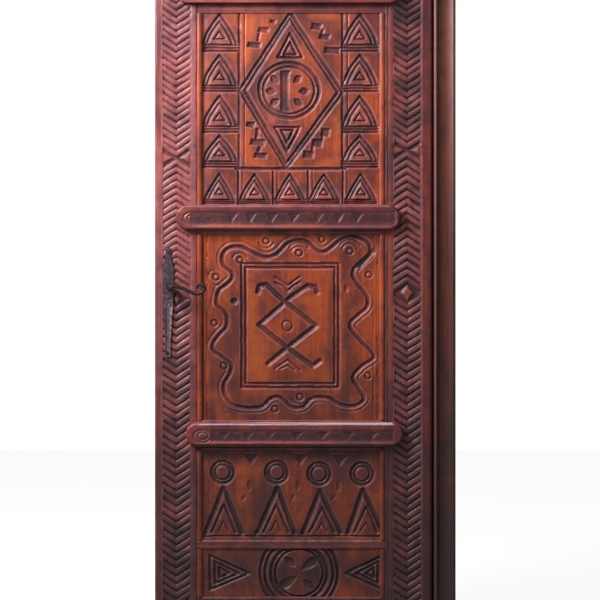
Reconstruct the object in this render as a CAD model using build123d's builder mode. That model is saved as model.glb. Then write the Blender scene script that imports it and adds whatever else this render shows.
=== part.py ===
from build123d import *
import os
from math import hypot, pi, radians, sin, tan

os.makedirs("parts", exist_ok=True)

# A carved wooden door in its frame, closed, in millimetres. X runs from the lock side to the
# hinge side, Y runs away from the person who pulls the door open, and Z is up. The origin is on
# the floor below the middle of the leaf, in the plane of the stiles' front face.

# Driving sizes of the leaf
leaf_width = 834
leaf_thickness = 45
stile_width = 126
hinge_stile_width = 144
bottom_rail_height = 115
bottom_panel_height = 144
low_rail_height = 27
figure_panel_height = 270
middle_rail_height = 90
vine_panel_height = 558
upper_rail_height = 87
upper_panel_height = 576
top_rail_height = 133

# Driving sizes of the frame
sill_height = 40
head_height = 60
post_width = 65
frame_depth = 122
lining_thickness = 20
frame_front = -3
stop_width = 20

# Running gaps round the leaf
bottom_gap = 6
top_gap = 4
hinge_gap = 3
lock_gap = 3
lip_gap = 1
stop_gap = 5

# Joinery
groove_width = 10
groove_depth = 10
groove_setback = 17
tongue_gap = 0.5
tenon_length = 40
tenon_shoulder = 12
lip_width = 22
lip_thickness = 18
panel_setback = 5
panel_thickness = 24
post_tenon_length = 25
post_tenon_thickness = 40
post_tenon_inset = 12
housing_depth = 8

# Mouldings of the hinge post
post_bead = 11
post_quirk = 6
post_outer_bead = 14
post_bead_drop = 6
post_quirk_drop = 11
post_cove_drop = 5
post_cove_dip = 9

# Pivots at the hinge side
pivot_edge_radius = 15
pin_radius = 6
pin_clearance = 0.1
pin_reach = 12
collar_radius = 10
collar_rest = 0.3
collar_sides = 8
pivot_plate_length = 66
pivot_plate_width = 22
pivot_plate_thickness = 6
pivot_plate_setback = 9
socket_plate_thickness = 5
socket_boss_radius = 10
socket_floor = 5

# Carving that the whole door shares
carve_depth = 7
carve_taper = 15
line_cut = 10
fine_cut = 6
wave_cuts = 4

# Chevron bands on the stiles
band_width = 81
lock_band_margin = 24
hinge_band_margin = 36
band_depth = 7
ridge_drop = 0.5
comb_overrun = 1
band_end = 66
chevron_pitch = 25
chevron_slope = 35
crossing_land = 4
crossing_notch = 22
diamond_land = 2
diamond_rim = 9
lock_band_crossing = 1432
lock_band_diamond = 1009
hinge_band_crossing = 1456
hinge_band_diamond = 1027
diamond_boss = 15

# Upper panel: columns and a row of triangle cells round a diamond with a rosette
margin_line = 5
column_offset = 210
column_cells = 4
column_cell_height = 120
cell_half_width = 51
cell_roof = 92
cell_stroke = 17
cell_lines = 2
cell_line_drop = 6
cell_line_pitch = 11
inner_roof_drop = 29
inner_roof_width = 0.72
inner_roof_height = 0.86
row_cell_pitch = 105
row_cells = 5
row_cell_height = 102
row_cell_half_width = 46
divider_offset = 154
diamond_height = 342
diamond_half_width = 146
diamond_half_height = 228
diamond_frame = 11
second_diamond = 0.84
ring_cuts = 16
rosette_radius = 92
rosette_inner_radius = 72
petal_length = 40
petal_width = 18
petal_circle = 47
petal_count = 6
small_triangle_place = 174
small_triangle_half_width = 34
small_triangle_height = 66
stair_step = 28
stair_start = 129
stair_steps = 3

# Vine panel: a square frame with an interlaced knot, and a waving vine round it
square_half_width = 141
square_rise = 6
square_half_height = 186
square_stroke = 12
vine_stroke = 13
vine_swing = 24
vine_side_offset = 207
vine_end_offset = 237
vine_side_waves = 6
vine_end_waves = 6
knot_half_width = 85
knot_half_height = 72
knot_arm = 55
knot_arm_rise = 115
knot_hook = 77
knot_hook_rise = 86
knot_stroke = 15
ring_dot = 12

# Figure panel: four figures with ring heads
figure_places = [-205, -43, 84, 213]
figure_head_height = 201
figure_head_radius = 36
figure_head_stroke = 13
figure_body_top = 153
figure_body_half_width = 50
figure_body_rise = 112
figure_body_stroke = 24
figure_inner_drop = 52
notch_half_width = 14
notch_height = 30

# Bottom panel: a double ring between two triangles that point at it
wheel_offset = 18
wheel_radius = 114
wheel_inner_radius = 80
wheel_margin = 8
arrow_tip = 146
arrow_length = 111
arrow_half_height = 50
arrow_inner_start = 24
arrow_inner_scale = 0.7
arrow_core_start = 40
arrow_core_scale = 0.4
wheel_leaves = 4

# Battens planted on the leaf
batten_height = 75
batten_thickness = 22
batten_edge = 6
batten_field_inset = 14
batten_field_depth = 4
batten_tooth_pitch = 62
batten_tooth_height = 34
batten_tooth_depth = 5
upper_batten_left = 63
upper_batten_right = 45
lower_batten_height = 69
lower_batten_left = 33
lower_batten_right = 54
top_batten_height = 70
top_batten_rise = 28
lower_batten_rise = 4
peg_width = 12
peg_depth = 12
peg_spread = 200

# Beads along the panels
bead_width = 15
bead_rise = 3
bead_shoulder = 0

# Handle
handle_height = 1045
backset = 23
plate_offset = 6
plate_thickness = 4
plate_above = 117
plate_below = 210
plate_half_width = 16.5
plate_end_half_width = 7
plate_shoulder = 60
plate_waist = 40
ridge_width = 8
ridge_height = 3
ridge_top = 55
ridge_length = 135
ridge_taper = 30
nail_width = 4
nail_head_width = 9
nail_head_height = 2
nail_head_taper = 40
nail_length = 16
nail_inset = 12
spindle_width = 8
spindle_seat = 20
lever_seat_radius = 8
lever_hub_radius = 11
lever_hub_length = 14
lever_hub_sides = 8
lever_neck_radius = 7
lever_stand_off = 40
lever_run = 64
lever_droop = 18
lever_width = 10
curl_radius = 12
curl_turn = 205
lever_clearance = 0.1

# Lock
case_depth = 47
case_height = 120
case_thickness = 15
case_wall = 1.5
forend_height = 150
forend_thickness = 3
follower_radius = 9
follower_sides = 12
follower_journal = 7
follower_thickness = 5
follower_setback = 1.5
follower_cam = 17
follower_cam_width = 6
bolt_throw = 12
bolt_height = 26
bolt_thickness = 10
bolt_length = 24
bolt_clearance = 0.5
tail_height = 6
tail_thickness = 3.5
tail_gap = 0.6
lug_length = 6.5
spring_thickness = 1.5
spring_width = 3.5
strike_height = 90
strike_thickness = 2
strike_depth = 34
notch_clearance = 2
keep_room = 8

# Places worked out from the sizes above
leaf_left = -leaf_width / 2
leaf_right = leaf_width / 2
leaf_bottom = sill_height + bottom_gap
bottom_panel_low = leaf_bottom + bottom_rail_height
low_rail_low = bottom_panel_low + bottom_panel_height
figure_panel_low = low_rail_low + low_rail_height
middle_rail_low = figure_panel_low + figure_panel_height
vine_panel_low = middle_rail_low + middle_rail_height
upper_rail_low = vine_panel_low + vine_panel_height
upper_panel_low = upper_rail_low + upper_rail_height
top_rail_low = upper_panel_low + upper_panel_height
leaf_top = top_rail_low + top_rail_height
head_low = leaf_top + top_gap
head_top = head_low + head_height

panel_left = leaf_left + stile_width
panel_right = leaf_right - hinge_stile_width
panel_width = panel_right - panel_left
panel_middle = (panel_left + panel_right) / 2

body_left = leaf_left + lip_width
lining_right = body_left - lock_gap
lining_left = lining_right - lining_thickness
post_left = leaf_right + hinge_gap
post_right = post_left + post_width
frame_back = frame_front + frame_depth
stop_front = leaf_thickness + stop_gap

pivot_x = leaf_right - pivot_edge_radius
pivot_y = pivot_edge_radius
spindle_x = body_left + backset
spindle_z = leaf_bottom + handle_height
lock_y = (lip_thickness + leaf_thickness) / 2

front = Plane.XZ


def at_depth(y):
    """The upright plane that faces the viewer, y millimetres behind the stiles' face."""
    return front.offset(-y)


def save(piece, name):
    """Label a finished piece and write its file."""
    piece.part.label = name
    export_step(piece.part, "parts/" + name + ".step")


def block(left, right, near, far, low, high, mode=Mode.ADD):
    """Add or cut a straight sided piece between six faces."""
    with BuildSketch(Plane.XY.offset(low)) as outline:
        with Locations(((left + right) / 2, (near + far) / 2)):
            Rectangle(right - left, far - near)
    extrude(outline.sketch, amount=high - low, mode=mode)


def vee(half_width, rise, thickness, point_up=False):
    """A V or roof shaped stroke with its point on the current location."""
    side = -1 if point_up else 1
    Polygon(
        (-half_width, side * rise),
        (0, 0),
        (half_width, side * rise),
        (half_width, side * (rise + thickness)),
        (0, side * thickness),
        (-half_width, side * (rise + thickness)),
        align=None,
    )


def ribbon(points, width):
    """A stroke of one width along the points, mitred at its corners."""
    path = [Vector(*point) for point in points]
    steps = [(end - start).normalized() for start, end in zip(path[:-1], path[1:])]
    left = []
    right = []
    for i, point in enumerate(path):
        before = steps[max(i - 1, 0)]
        after = steps[min(i, len(steps) - 1)]
        middle = (before + after).normalized()
        reach = width / 2 / middle.dot(after)
        side = Vector(-middle.Y, middle.X) * reach
        left.append(point + side)
        right.append(point - side)
    Polygon(*left, *reversed(right), align=None)


def rhombus(half_width, half_height, mode=Mode.ADD):
    """A diamond centred on the current location."""
    corners = [(-half_width, 0), (0, -half_height), (half_width, 0), (0, half_height)]
    Polygon(*corners, align=None, mode=mode)


def ring(radius, width):
    """A ring round the current location, worked as straight chisel cuts of equal length."""
    RegularPolygon(radius, ring_cuts)
    RegularPolygon(radius - width, ring_cuts, mode=Mode.SUBTRACT)


def leaf_shape(length, width, turn):
    """A pointed leaf centred on the current location."""
    Polygon(
        (-length / 2, 0),
        (-length / 6, -width / 2),
        (length / 6, -width / 2),
        (length / 2, 0),
        (length / 6, width / 2),
        (-length / 6, width / 2),
        align=None,
        rotation=turn,
    )


def stair_stroke(start, step_x, step_z):
    """A stepped line that climbs from the start."""
    points = [start]
    for _ in range(stair_steps):
        x, z = points[-1]
        points += [(x, z + step_z), (x + step_x, z + step_z)]
    ribbon(points, fine_cut)


def wave(start, end, count):
    """Points on a sine wave from start to end, with a few straight cuts to each half wave."""
    run = Vector(*end) - Vector(*start)
    side = Vector(-run.Y, run.X).normalized() * vine_swing
    cuts = wave_cuts * count
    points = []
    for i in range(cuts):
        place = Vector(*start) + run * (i / cuts) - side * sin(pi * i / wave_cuts)
        points.append((place.X, place.Y))
    return points


# Leaf: the two stiles with their chevron bands
def chevron_comb(centre_x, low, high, point_up):
    """Cut a stretch of chevrons: toothed slots that lean up or down from the band's middle."""
    half = band_width / 2
    rise = half * tan(radians(chevron_slope))
    count = max(1, round((high - low) / chevron_pitch))
    pitch = (high - low) / count
    teeth = [(-comb_overrun, low), (ridge_drop, low)]
    for i in range(count):
        teeth += [(band_depth, low + (i + 0.5) * pitch), (ridge_drop, low + (i + 1) * pitch)]
    teeth.append((-comb_overrun, high))
    with BuildSketch(Plane.YZ.offset(centre_x)) as comb:
        Polygon(*teeth, align=None)
    lean = -rise if point_up else rise
    for side in (-1, 1):
        extrude(
            comb.sketch,
            amount=hypot(half, rise),
            dir=(side * half / hypot(half, rise), 0, lean / hypot(half, rise)),
            mode=Mode.SUBTRACT,
        )


def chevron_band(centre_x, crossing, diamond):
    """The chevrons point down, then up below the crossing, then down below the diamond."""
    half = band_width / 2
    rise = half * tan(radians(chevron_slope))
    low = leaf_bottom + band_end
    high = leaf_top - band_end
    crossing_z = leaf_bottom + crossing
    diamond_z = leaf_bottom + diamond
    chevron_comb(centre_x, crossing_z + crossing_land, high - rise, False)
    chevron_comb(centre_x, diamond_z + rise + diamond_land, crossing_z - crossing_land, True)
    chevron_comb(centre_x, low, diamond_z - rise - diamond_land, False)
    scale = 1 - diamond_rim / half
    with BuildSketch(front) as pocket:
        with Locations((centre_x, diamond_z)):
            rhombus(half * scale, rise * scale)
            rhombus(diamond_boss, diamond_boss * rise / half, Mode.SUBTRACT)
        for side in (-1, 1):
            with Locations((centre_x + side * half, crossing_z)):
                Polygon(
                    (0, rise / 2),
                    (-side * crossing_notch, 0),
                    (0, -rise / 2),
                    align=None,
                )
    extrude(pocket.sketch, amount=-band_depth, taper=carve_taper, mode=Mode.SUBTRACT)


def shoulder(low, high):
    """How far a tenon stops short of its rail's edges: a narrow rail keeps a third."""
    return min(tenon_shoulder, (high - low) / 3)


def mortises(edge_x, inward):
    """Cut a mortise for each rail's tenon, inward from a stile's inner edge."""
    end_x = edge_x + inward * tenon_length
    for low, high in rail_spans:
        block(
            min(edge_x, end_x),
            max(edge_x, end_x),
            groove_setback,
            groove_setback + groove_width,
            low + shoulder(low, high),
            high - shoulder(low, high),
            Mode.SUBTRACT,
        )


rail_spans = [
    (leaf_bottom, bottom_panel_low),
    (low_rail_low, figure_panel_low),
    (middle_rail_low, vine_panel_low),
    (upper_rail_low, upper_panel_low),
    (top_rail_low, leaf_top),
]
rail_names = ["bottom_rail", "low_rail", "middle_rail", "upper_rail", "top_rail"]
groove_back = groove_setback + groove_width
case_left = body_left + forend_thickness
case_right = case_left + case_depth
case_low = spindle_z - case_height / 2
case_high = spindle_z + case_height / 2
case_front = lock_y - case_thickness / 2
case_back = lock_y + case_thickness / 2
forend_low = spindle_z - forend_height / 2
forend_high = spindle_z + forend_height / 2
plate_x = spindle_x - plate_offset
plate_high = spindle_z + plate_above
plate_low = spindle_z - plate_below
nail_places = [(plate_x, plate_high - nail_inset), (plate_x, plate_low + nail_inset)]
back_face = leaf_thickness + plate_thickness


def nail_holes(length):
    """Cut the holes of the plate nails, into both faces of what is being made."""
    for face, reach in ((at_depth(-plate_thickness), -length), (at_depth(back_face), length)):
        with BuildSketch(face) as holes:
            with Locations(*nail_places):
                Rectangle(nail_width, nail_width)
        extrude(holes.sketch, amount=reach, mode=Mode.SUBTRACT)


with BuildPart() as lock_stile:
    block(leaf_left, panel_left, 0, leaf_thickness, leaf_bottom, leaf_top)
    block(leaf_left, body_left, lip_thickness, leaf_thickness, leaf_bottom, leaf_top, Mode.SUBTRACT)
    block(
        panel_left - groove_depth,
        panel_left,
        groove_setback,
        groove_back,
        bottom_panel_low - groove_depth,
        top_rail_low + groove_depth,
        Mode.SUBTRACT,
    )
    mortises(panel_left, -1)
    block(body_left, case_left, lip_thickness, leaf_thickness, forend_low, forend_high, Mode.SUBTRACT)
    block(case_left, case_right, case_front, case_back, case_low, case_high, Mode.SUBTRACT)
    seat_hole = lever_seat_radius + lever_clearance
    block(
        spindle_x - seat_hole,
        spindle_x + seat_hole,
        0,
        leaf_thickness,
        spindle_z - seat_hole,
        spindle_z + seat_hole,
        Mode.SUBTRACT,
    )
    nail_holes(nail_length)
    chevron_band(
        leaf_left + lock_band_margin + band_width / 2, lock_band_crossing, lock_band_diamond
    )
save(lock_stile, "lock_stile")

pivot_plate_right = leaf_right - pivot_plate_setback
pivot_plate_left = pivot_plate_right - pivot_plate_length
pivot_plate_near = pivot_y - pivot_plate_width / 2
pivot_plate_far = pivot_y + pivot_plate_width / 2

with BuildPart() as hinge_stile:
    block(panel_right, leaf_right, 0, leaf_thickness, leaf_bottom, leaf_top)
    fillet(
        hinge_stile.edges().filter_by(Axis.Z).group_by(Axis.X)[-1].sort_by(Axis.Y)[0],
        pivot_edge_radius,
    )
    block(
        panel_right,
        panel_right + groove_depth,
        groove_setback,
        groove_back,
        bottom_panel_low - groove_depth,
        top_rail_low + groove_depth,
        Mode.SUBTRACT,
    )
    mortises(panel_right, 1)
    for low in (leaf_bottom, leaf_top - pivot_plate_thickness):
        block(
            pivot_plate_left,
            pivot_plate_right,
            pivot_plate_near,
            pivot_plate_far,
            low,
            low + pivot_plate_thickness,
            Mode.SUBTRACT,
        )
    chevron_band(
        leaf_right - hinge_band_margin - band_width / 2, hinge_band_crossing, hinge_band_diamond
    )
save(hinge_stile, "hinge_stile")

# Leaf: rails with tenons into the stiles and grooves for the panels
upper_batten_low = upper_panel_low - batten_height
lower_batten_room = middle_rail_height - lower_batten_height
lower_batten_low = middle_rail_low + lower_batten_room / 2 + lower_batten_rise
top_batten_low = top_rail_low + top_batten_rise
batten_rows = {
    "middle_rail": lower_batten_low + lower_batten_height / 2,
    "upper_rail": upper_batten_low + batten_height / 2,
    "top_rail": top_batten_low + top_batten_height / 2,
}
peg_xs = [panel_middle - peg_spread, panel_middle, panel_middle + peg_spread]


def rail_groove(low, high):
    """How deep the panel grooves run into a rail: a narrow rail keeps a third between them."""
    return min(groove_depth, (high - low) / 3)


def peg_holes(row_z, reach):
    """Cut the peg holes of a batten from the stiles' face, forward or back by their reach."""
    with BuildSketch(front) as holes:
        with Locations(*[(x, row_z) for x in peg_xs]):
            Rectangle(peg_width, peg_width)
    extrude(holes.sketch, amount=reach, mode=Mode.SUBTRACT)


for name, (low, high) in zip(rail_names, rail_spans):
    with BuildPart() as rail:
        block(panel_left, panel_right, 0, leaf_thickness, low, high)
        block(
            panel_left - tenon_length,
            panel_right + tenon_length,
            groove_setback,
            groove_back,
            low + shoulder(low, high),
            high - shoulder(low, high),
        )
        edges = []
        if low > leaf_bottom:
            edges.append((low, low + rail_groove(low, high)))
        if high < leaf_top:
            edges.append((high - rail_groove(low, high), high))
        for groove_low, groove_high in edges:
            block(
                panel_left,
                panel_right,
                groove_setback,
                groove_back,
                groove_low,
                groove_high,
                Mode.SUBTRACT,
            )
        if name in batten_rows:
            peg_holes(batten_rows[name], -peg_depth)
    save(rail, name)

# Leaf: the four carved panels, tongued into stiles and rails
panel_face = at_depth(panel_setback)


def panel_board(low, high, low_rail_span, high_rail_span):
    """A flat panel with tongues on its four edges."""
    block(
        panel_left + tongue_gap,
        panel_right - tongue_gap,
        panel_setback,
        panel_setback + panel_thickness,
        low + tongue_gap,
        high - tongue_gap,
    )
    block(
        panel_left - groove_depth + tongue_gap,
        panel_right + groove_depth - tongue_gap,
        groove_setback,
        groove_back,
        low - rail_groove(*low_rail_span) + tongue_gap,
        high + rail_groove(*high_rail_span) - tongue_gap,
    )


def carve(sketch):
    """Cut a sketch into the panel's face with sloping walls."""
    extrude(sketch, amount=-carve_depth, taper=carve_taper, mode=Mode.SUBTRACT)


def nested_roofs(half_width, height, stroke_height):
    """Two roof shaped strokes, one inside the other, over a solid triangle."""
    vee(half_width, height - stroke_height, stroke_height, point_up=True)
    room = height - inner_roof_drop
    inner_half_width = half_width * room / height * inner_roof_width
    with Locations((0, -inner_roof_drop)):
        Polygon(
            (0, 0),
            (-inner_half_width, -room * inner_roof_height),
            (inner_half_width, -room * inner_roof_height),
            align=None,
        )


diamond_z = upper_panel_low + diamond_height
column_top = top_rail_low - margin_line * 2
with BuildPart() as upper_panel:
    panel_board(upper_panel_low, top_rail_low, rail_spans[3], rail_spans[4])
    with BuildSketch(panel_face) as cells:
        with Locations(
            *[
                (panel_middle + side * column_offset, column_top - i * column_cell_height)
                for side in (-1, 1)
                for i in range(column_cells)
            ]
        ):
            nested_roofs(cell_half_width, cell_roof, cell_stroke)
            for i in range(cell_lines):
                with Locations((0, -cell_roof - cell_line_drop - i * cell_line_pitch)):
                    Rectangle(2 * cell_half_width, fine_cut)
    carve(cells.sketch)
    with BuildSketch(panel_face) as row:
        with Locations(
            *[
                (
                    panel_middle + (i - (row_cells - 1) / 2) * row_cell_pitch,
                    upper_panel_low + row_cell_height - margin_line,
                )
                for i in range(row_cells)
            ]
        ):
            nested_roofs(row_cell_half_width, row_cell_height - 2 * margin_line, cell_stroke)
    carve(row.sketch)
    with BuildSketch(panel_face) as field:
        with Locations((panel_middle, diamond_z)):
            rhombus(diamond_half_width, diamond_half_height)
            rhombus(
                diamond_half_width - diamond_frame,
                diamond_half_height - diamond_frame * diamond_half_height / diamond_half_width,
                Mode.SUBTRACT,
            )
            rhombus(second_diamond * diamond_half_width, second_diamond * diamond_half_height)
            rhombus(
                second_diamond * diamond_half_width - diamond_frame,
                (second_diamond * diamond_half_width - diamond_frame)
                * diamond_half_height
                / diamond_half_width,
                Mode.SUBTRACT,
            )
            ring(rosette_radius, line_cut)
            ring(rosette_inner_radius, fine_cut)
            for i in range(petal_count):
                turn = (i + 0.5) * 360 / petal_count
                with PolarLocations(petal_circle, 1, start_angle=turn, rotate=False):
                    leaf_shape(petal_length, petal_width, turn + 60)
            for side in (-1, 1):
                with Locations((0, side * small_triangle_place)):
                    Polygon(
                        (0, 0),
                        (-small_triangle_half_width, -side * small_triangle_height),
                        (small_triangle_half_width, -side * small_triangle_height),
                        align=None,
                    )
    carve(field.sketch)
    with BuildSketch(panel_face) as stairs:
        with Locations((panel_middle, diamond_z)):
            for side in (-1, 1):
                for end in (-1, 1):
                    start = (side * stair_start, end * stair_start)
                    stair_stroke(start, -side * stair_step, end * stair_step)
        for side in (-1, 1):
            with Locations((panel_middle + side * divider_offset, diamond_z)):
                Rectangle(fine_cut, 2 * diamond_half_height)
    carve(stairs.sketch)
save(upper_panel, "upper_panel")

# The vine waves along the four sides of the square, and two hooked bars interlace inside it
knot_points = [
    (-knot_hook, knot_hook_rise),
    (-knot_arm, knot_arm_rise),
    (knot_half_width, 0),
    (-knot_arm, -knot_arm_rise),
]
vine_middle = (vine_panel_low + upper_rail_low) / 2
square_z = vine_middle + square_rise
with BuildPart() as vine_panel:
    panel_board(vine_panel_low, upper_rail_low, rail_spans[2], rail_spans[3])
    with BuildSketch(panel_face) as square:
        with Locations((panel_middle, square_z)):
            Rectangle(2 * square_half_width, 2 * square_half_height)
            Rectangle(
                2 * (square_half_width - square_stroke),
                2 * (square_half_height - square_stroke),
                mode=Mode.SUBTRACT,
            )
            for side in (-1, 1):
                ribbon([(-side * x, z) for x, z in knot_points], knot_stroke)
            rhombus(ring_dot, ring_dot)
            with Locations((0, knot_arm_rise)):
                vee(knot_half_width / 2, knot_half_height / 2, knot_stroke)
            with Locations((0, -knot_arm_rise)):
                vee(knot_half_width / 2, knot_half_height / 2, knot_stroke, point_up=True)
    extrude(square.sketch, amount=-carve_depth, mode=Mode.SUBTRACT)
    corners = [
        (panel_middle - vine_side_offset, square_z - vine_end_offset),
        (panel_middle - vine_side_offset, square_z + vine_end_offset),
        (panel_middle + vine_side_offset, square_z + vine_end_offset),
        (panel_middle + vine_side_offset, square_z - vine_end_offset),
    ]
    waves = [vine_side_waves, vine_end_waves, vine_side_waves, vine_end_waves]
    for start, end, count in zip(corners, corners[1:] + corners[:1], waves):
        with BuildSketch(panel_face) as vine:
            ribbon(wave(start, end, count) + [end], vine_stroke)
        extrude(vine.sketch, amount=-carve_depth, mode=Mode.SUBTRACT)
save(vine_panel, "vine_panel")

# Four figures with ring heads stand side by side
with BuildPart() as figure_panel:
    panel_board(figure_panel_low, middle_rail_low, rail_spans[1], rail_spans[2])
    with BuildSketch(panel_face) as figures:
        for x in figure_places:
            with Locations((panel_middle + x, figure_panel_low + figure_head_height)):
                ring(figure_head_radius, figure_head_stroke)
            with Locations((panel_middle + x, figure_panel_low + figure_body_top)):
                vee(figure_body_half_width, figure_body_rise, figure_body_stroke, point_up=True)
                with Locations((0, -figure_inner_drop)):
                    Polygon(
                        (0, 0),
                        (-figure_body_half_width / 2, -figure_body_rise / 2),
                        (figure_body_half_width / 2, -figure_body_rise / 2),
                        align=None,
                    )
        notch_xs = [(a + b) / 2 for a, b in zip(figure_places[:-1], figure_places[1:])]
        with Locations(*[(panel_middle + x, middle_rail_low - margin_line) for x in notch_xs]):
            Polygon((-notch_half_width, 0), (0, -notch_height), (notch_half_width, 0), align=None)
    carve(figures.sketch)
save(figure_panel, "figure_panel")


def arrow(side, start, scale, mode):
    """A triangle that points back at the current location from one side of it."""
    end_x = side * (start + arrow_length * scale)
    half_height = arrow_half_height * scale
    Polygon((side * start, 0), (end_x, half_height), (end_x, -half_height), align=None, mode=mode)


# A double ring between two triangles that point at it
wheel_z = (bottom_panel_low + low_rail_low) / 2
with BuildPart() as bottom_panel:
    panel_board(bottom_panel_low, low_rail_low, rail_spans[0], rail_spans[1])
    with BuildSketch(panel_face) as wheel:
        with Locations((panel_middle + wheel_offset, wheel_z)):
            ring(wheel_radius, line_cut)
            ring(wheel_inner_radius, line_cut)
            for i in range(wheel_leaves):
                turn = (i + 0.5) * 360 / wheel_leaves
                with PolarLocations(wheel_inner_radius / 2, 1, start_angle=turn, rotate=False):
                    leaf_shape(petal_length, petal_width, turn)
            Rectangle(panel_width, bottom_panel_height - 2 * wheel_margin, mode=Mode.INTERSECT)
    extrude(wheel.sketch, amount=-carve_depth, mode=Mode.SUBTRACT)
    with BuildSketch(panel_face) as arrows:
        for side in (-1, 1):
            with Locations((panel_middle + wheel_offset + side * arrow_tip, wheel_z)):
                arrow(side, 0, 1, Mode.ADD)
                arrow(side, arrow_inner_start, arrow_inner_scale, Mode.SUBTRACT)
                arrow(side, arrow_core_start, arrow_core_scale, Mode.ADD)
    carve(arrows.sketch)
save(bottom_panel, "bottom_panel")

# Leaf: beads planted in the panels' side edges
with BuildPart() as panel_beads:
    for low, high in zip(
        [bottom_panel_low, figure_panel_low, vine_panel_low, upper_panel_low],
        [low_rail_low, middle_rail_low, upper_rail_low, top_rail_low],
    ):
        for left in (panel_left, panel_right - bead_width):
            right = left + bead_width
            with BuildSketch(Plane.XY.offset(low + tongue_gap)) as bead:
                with BuildLine():
                    Polyline((left, bead_shoulder), (left, panel_setback), (right, panel_setback))
                    Line((right, panel_setback), (right, bead_shoulder))
                    ThreePointArc(
                        (right, bead_shoulder),
                        ((left + right) / 2, -bead_rise),
                        (left, bead_shoulder),
                    )
                make_face()
            extrude(bead.sketch, amount=high - low - 2 * tongue_gap)
save(panel_beads, "panel_beads")


# Leaf: battens with rounded ends, planted across the rails on hidden square pegs
def batten_body(left, right, low, height):
    """A straight batten with half round ends."""
    middle = (left + right) / 2
    with BuildSketch(front) as outline:
        with Locations((middle, low + height / 2)):
            SlotOverall(right - left, height)
    extrude(outline.sketch, amount=batten_thickness)


def batten_teeth(left, right, low, height):
    """A sunk field along the batten with a row of teeth that point up and down by turns."""
    middle = (left + right) / 2
    field_height = height - 2 * batten_field_inset
    with BuildSketch(at_depth(-batten_thickness)) as field:
        with Locations((middle, low + height / 2)):
            Rectangle(right - left - height, field_height)
    extrude(field.sketch, amount=-batten_field_depth, mode=Mode.SUBTRACT)
    count = int((right - left - 2 * height) / batten_tooth_pitch) + 1
    with BuildSketch(at_depth(-batten_thickness + batten_field_depth)) as teeth:
        with Locations((middle, low + height / 2)):
            for i in range(count):
                side = 1 if i % 2 else -1
                with Locations(((i - (count - 1) / 2) * batten_tooth_pitch, 0)):
                    Polygon(
                        (-batten_tooth_pitch / 2 + fine_cut, -side * batten_tooth_height / 2),
                        (0, side * batten_tooth_height / 2),
                        (batten_tooth_pitch / 2 - fine_cut, -side * batten_tooth_height / 2),
                        align=None,
                    )
    extrude(teeth.sketch, amount=-batten_tooth_depth, taper=carve_taper, mode=Mode.SUBTRACT)


upper_span = (panel_left - upper_batten_left, panel_right + upper_batten_right)
lower_span = (panel_left - lower_batten_left, panel_right + lower_batten_right)

with BuildPart() as top_batten:
    batten_body(*upper_span, top_batten_low, top_batten_height)
    peg_holes(batten_rows["top_rail"], peg_depth)
save(top_batten, "top_batten")

with BuildPart() as upper_batten:
    batten_body(*upper_span, upper_batten_low, batten_height)
    chamfer(upper_batten.faces().sort_by(Axis.Y)[0].edges(), batten_edge)
    batten_teeth(*upper_span, upper_batten_low, batten_height)
    peg_holes(batten_rows["upper_rail"], peg_depth)
save(upper_batten, "upper_batten")

with BuildPart() as lower_batten:
    batten_body(*lower_span, lower_batten_low, lower_batten_height)
    chamfer(lower_batten.faces().sort_by(Axis.Y)[0].edges(), batten_edge)
    batten_teeth(*lower_span, lower_batten_low, lower_batten_height)
    peg_holes(batten_rows["middle_rail"], peg_depth)
save(lower_batten, "lower_batten")

with BuildPart() as batten_pegs:
    with BuildSketch(at_depth(peg_depth)) as pegs:
        with Locations(*[(x, z) for x in peg_xs for z in batten_rows.values()]):
            Rectangle(peg_width, peg_width)
    extrude(pegs.sketch, amount=2 * peg_depth)
save(batten_pegs, "batten_pegs")

# Frame: the moulded hinge post with its stop and tenons
tenon_left = post_left + post_tenon_inset
tenon_right = post_right - post_tenon_inset
tenon_near = (frame_front + frame_back - post_tenon_thickness) / 2
tenon_far = tenon_near + post_tenon_thickness
bead_end = post_left + post_bead
cove_start = bead_end + post_quirk
cove_end = post_right - post_outer_bead

with BuildPart() as hinge_post:
    with BuildSketch(Plane.XY.offset(sill_height)) as section:
        with BuildLine():
            Polyline(
                (post_left, frame_front + post_bead_drop),
                (post_left, stop_front),
                (post_left - stop_width, stop_front),
                (post_left - stop_width, frame_back),
                (post_right, frame_back),
                (post_right, frame_front + post_cove_drop),
            )
            ThreePointArc(
                (post_right, frame_front + post_cove_drop),
                ((cove_end + post_right) / 2, frame_front),
                (cove_end, frame_front + post_cove_drop),
            )
            ThreePointArc(
                (cove_end, frame_front + post_cove_drop),
                ((cove_start + cove_end) / 2, frame_front + post_cove_dip),
                (cove_start, frame_front + post_cove_drop),
            )
            Polyline(
                (cove_start, frame_front + post_cove_drop),
                (cove_start, frame_front + post_quirk_drop),
                (bead_end, frame_front + post_quirk_drop),
                (bead_end, frame_front + post_bead_drop),
            )
            ThreePointArc(
                (bead_end, frame_front + post_bead_drop),
                ((post_left + bead_end) / 2, frame_front),
                (post_left, frame_front + post_bead_drop),
            )
        make_face()
    extrude(section.sketch, amount=head_low - sill_height)
    block(
        tenon_left,
        tenon_right,
        tenon_near,
        tenon_far,
        sill_height - post_tenon_length,
        head_low + post_tenon_length,
    )
save(hinge_post, "hinge_post")

lining_front = lip_thickness + lip_gap
strike_low = spindle_z - strike_height / 2
strike_high = spindle_z + strike_height / 2
notch_left = body_left - bolt_throw - notch_clearance
notch_back = lock_y + bolt_thickness / 2 + keep_room
notch_low = spindle_z - bolt_height / 2 - notch_clearance
notch_high = spindle_z + bolt_height / 2 + notch_clearance

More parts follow.
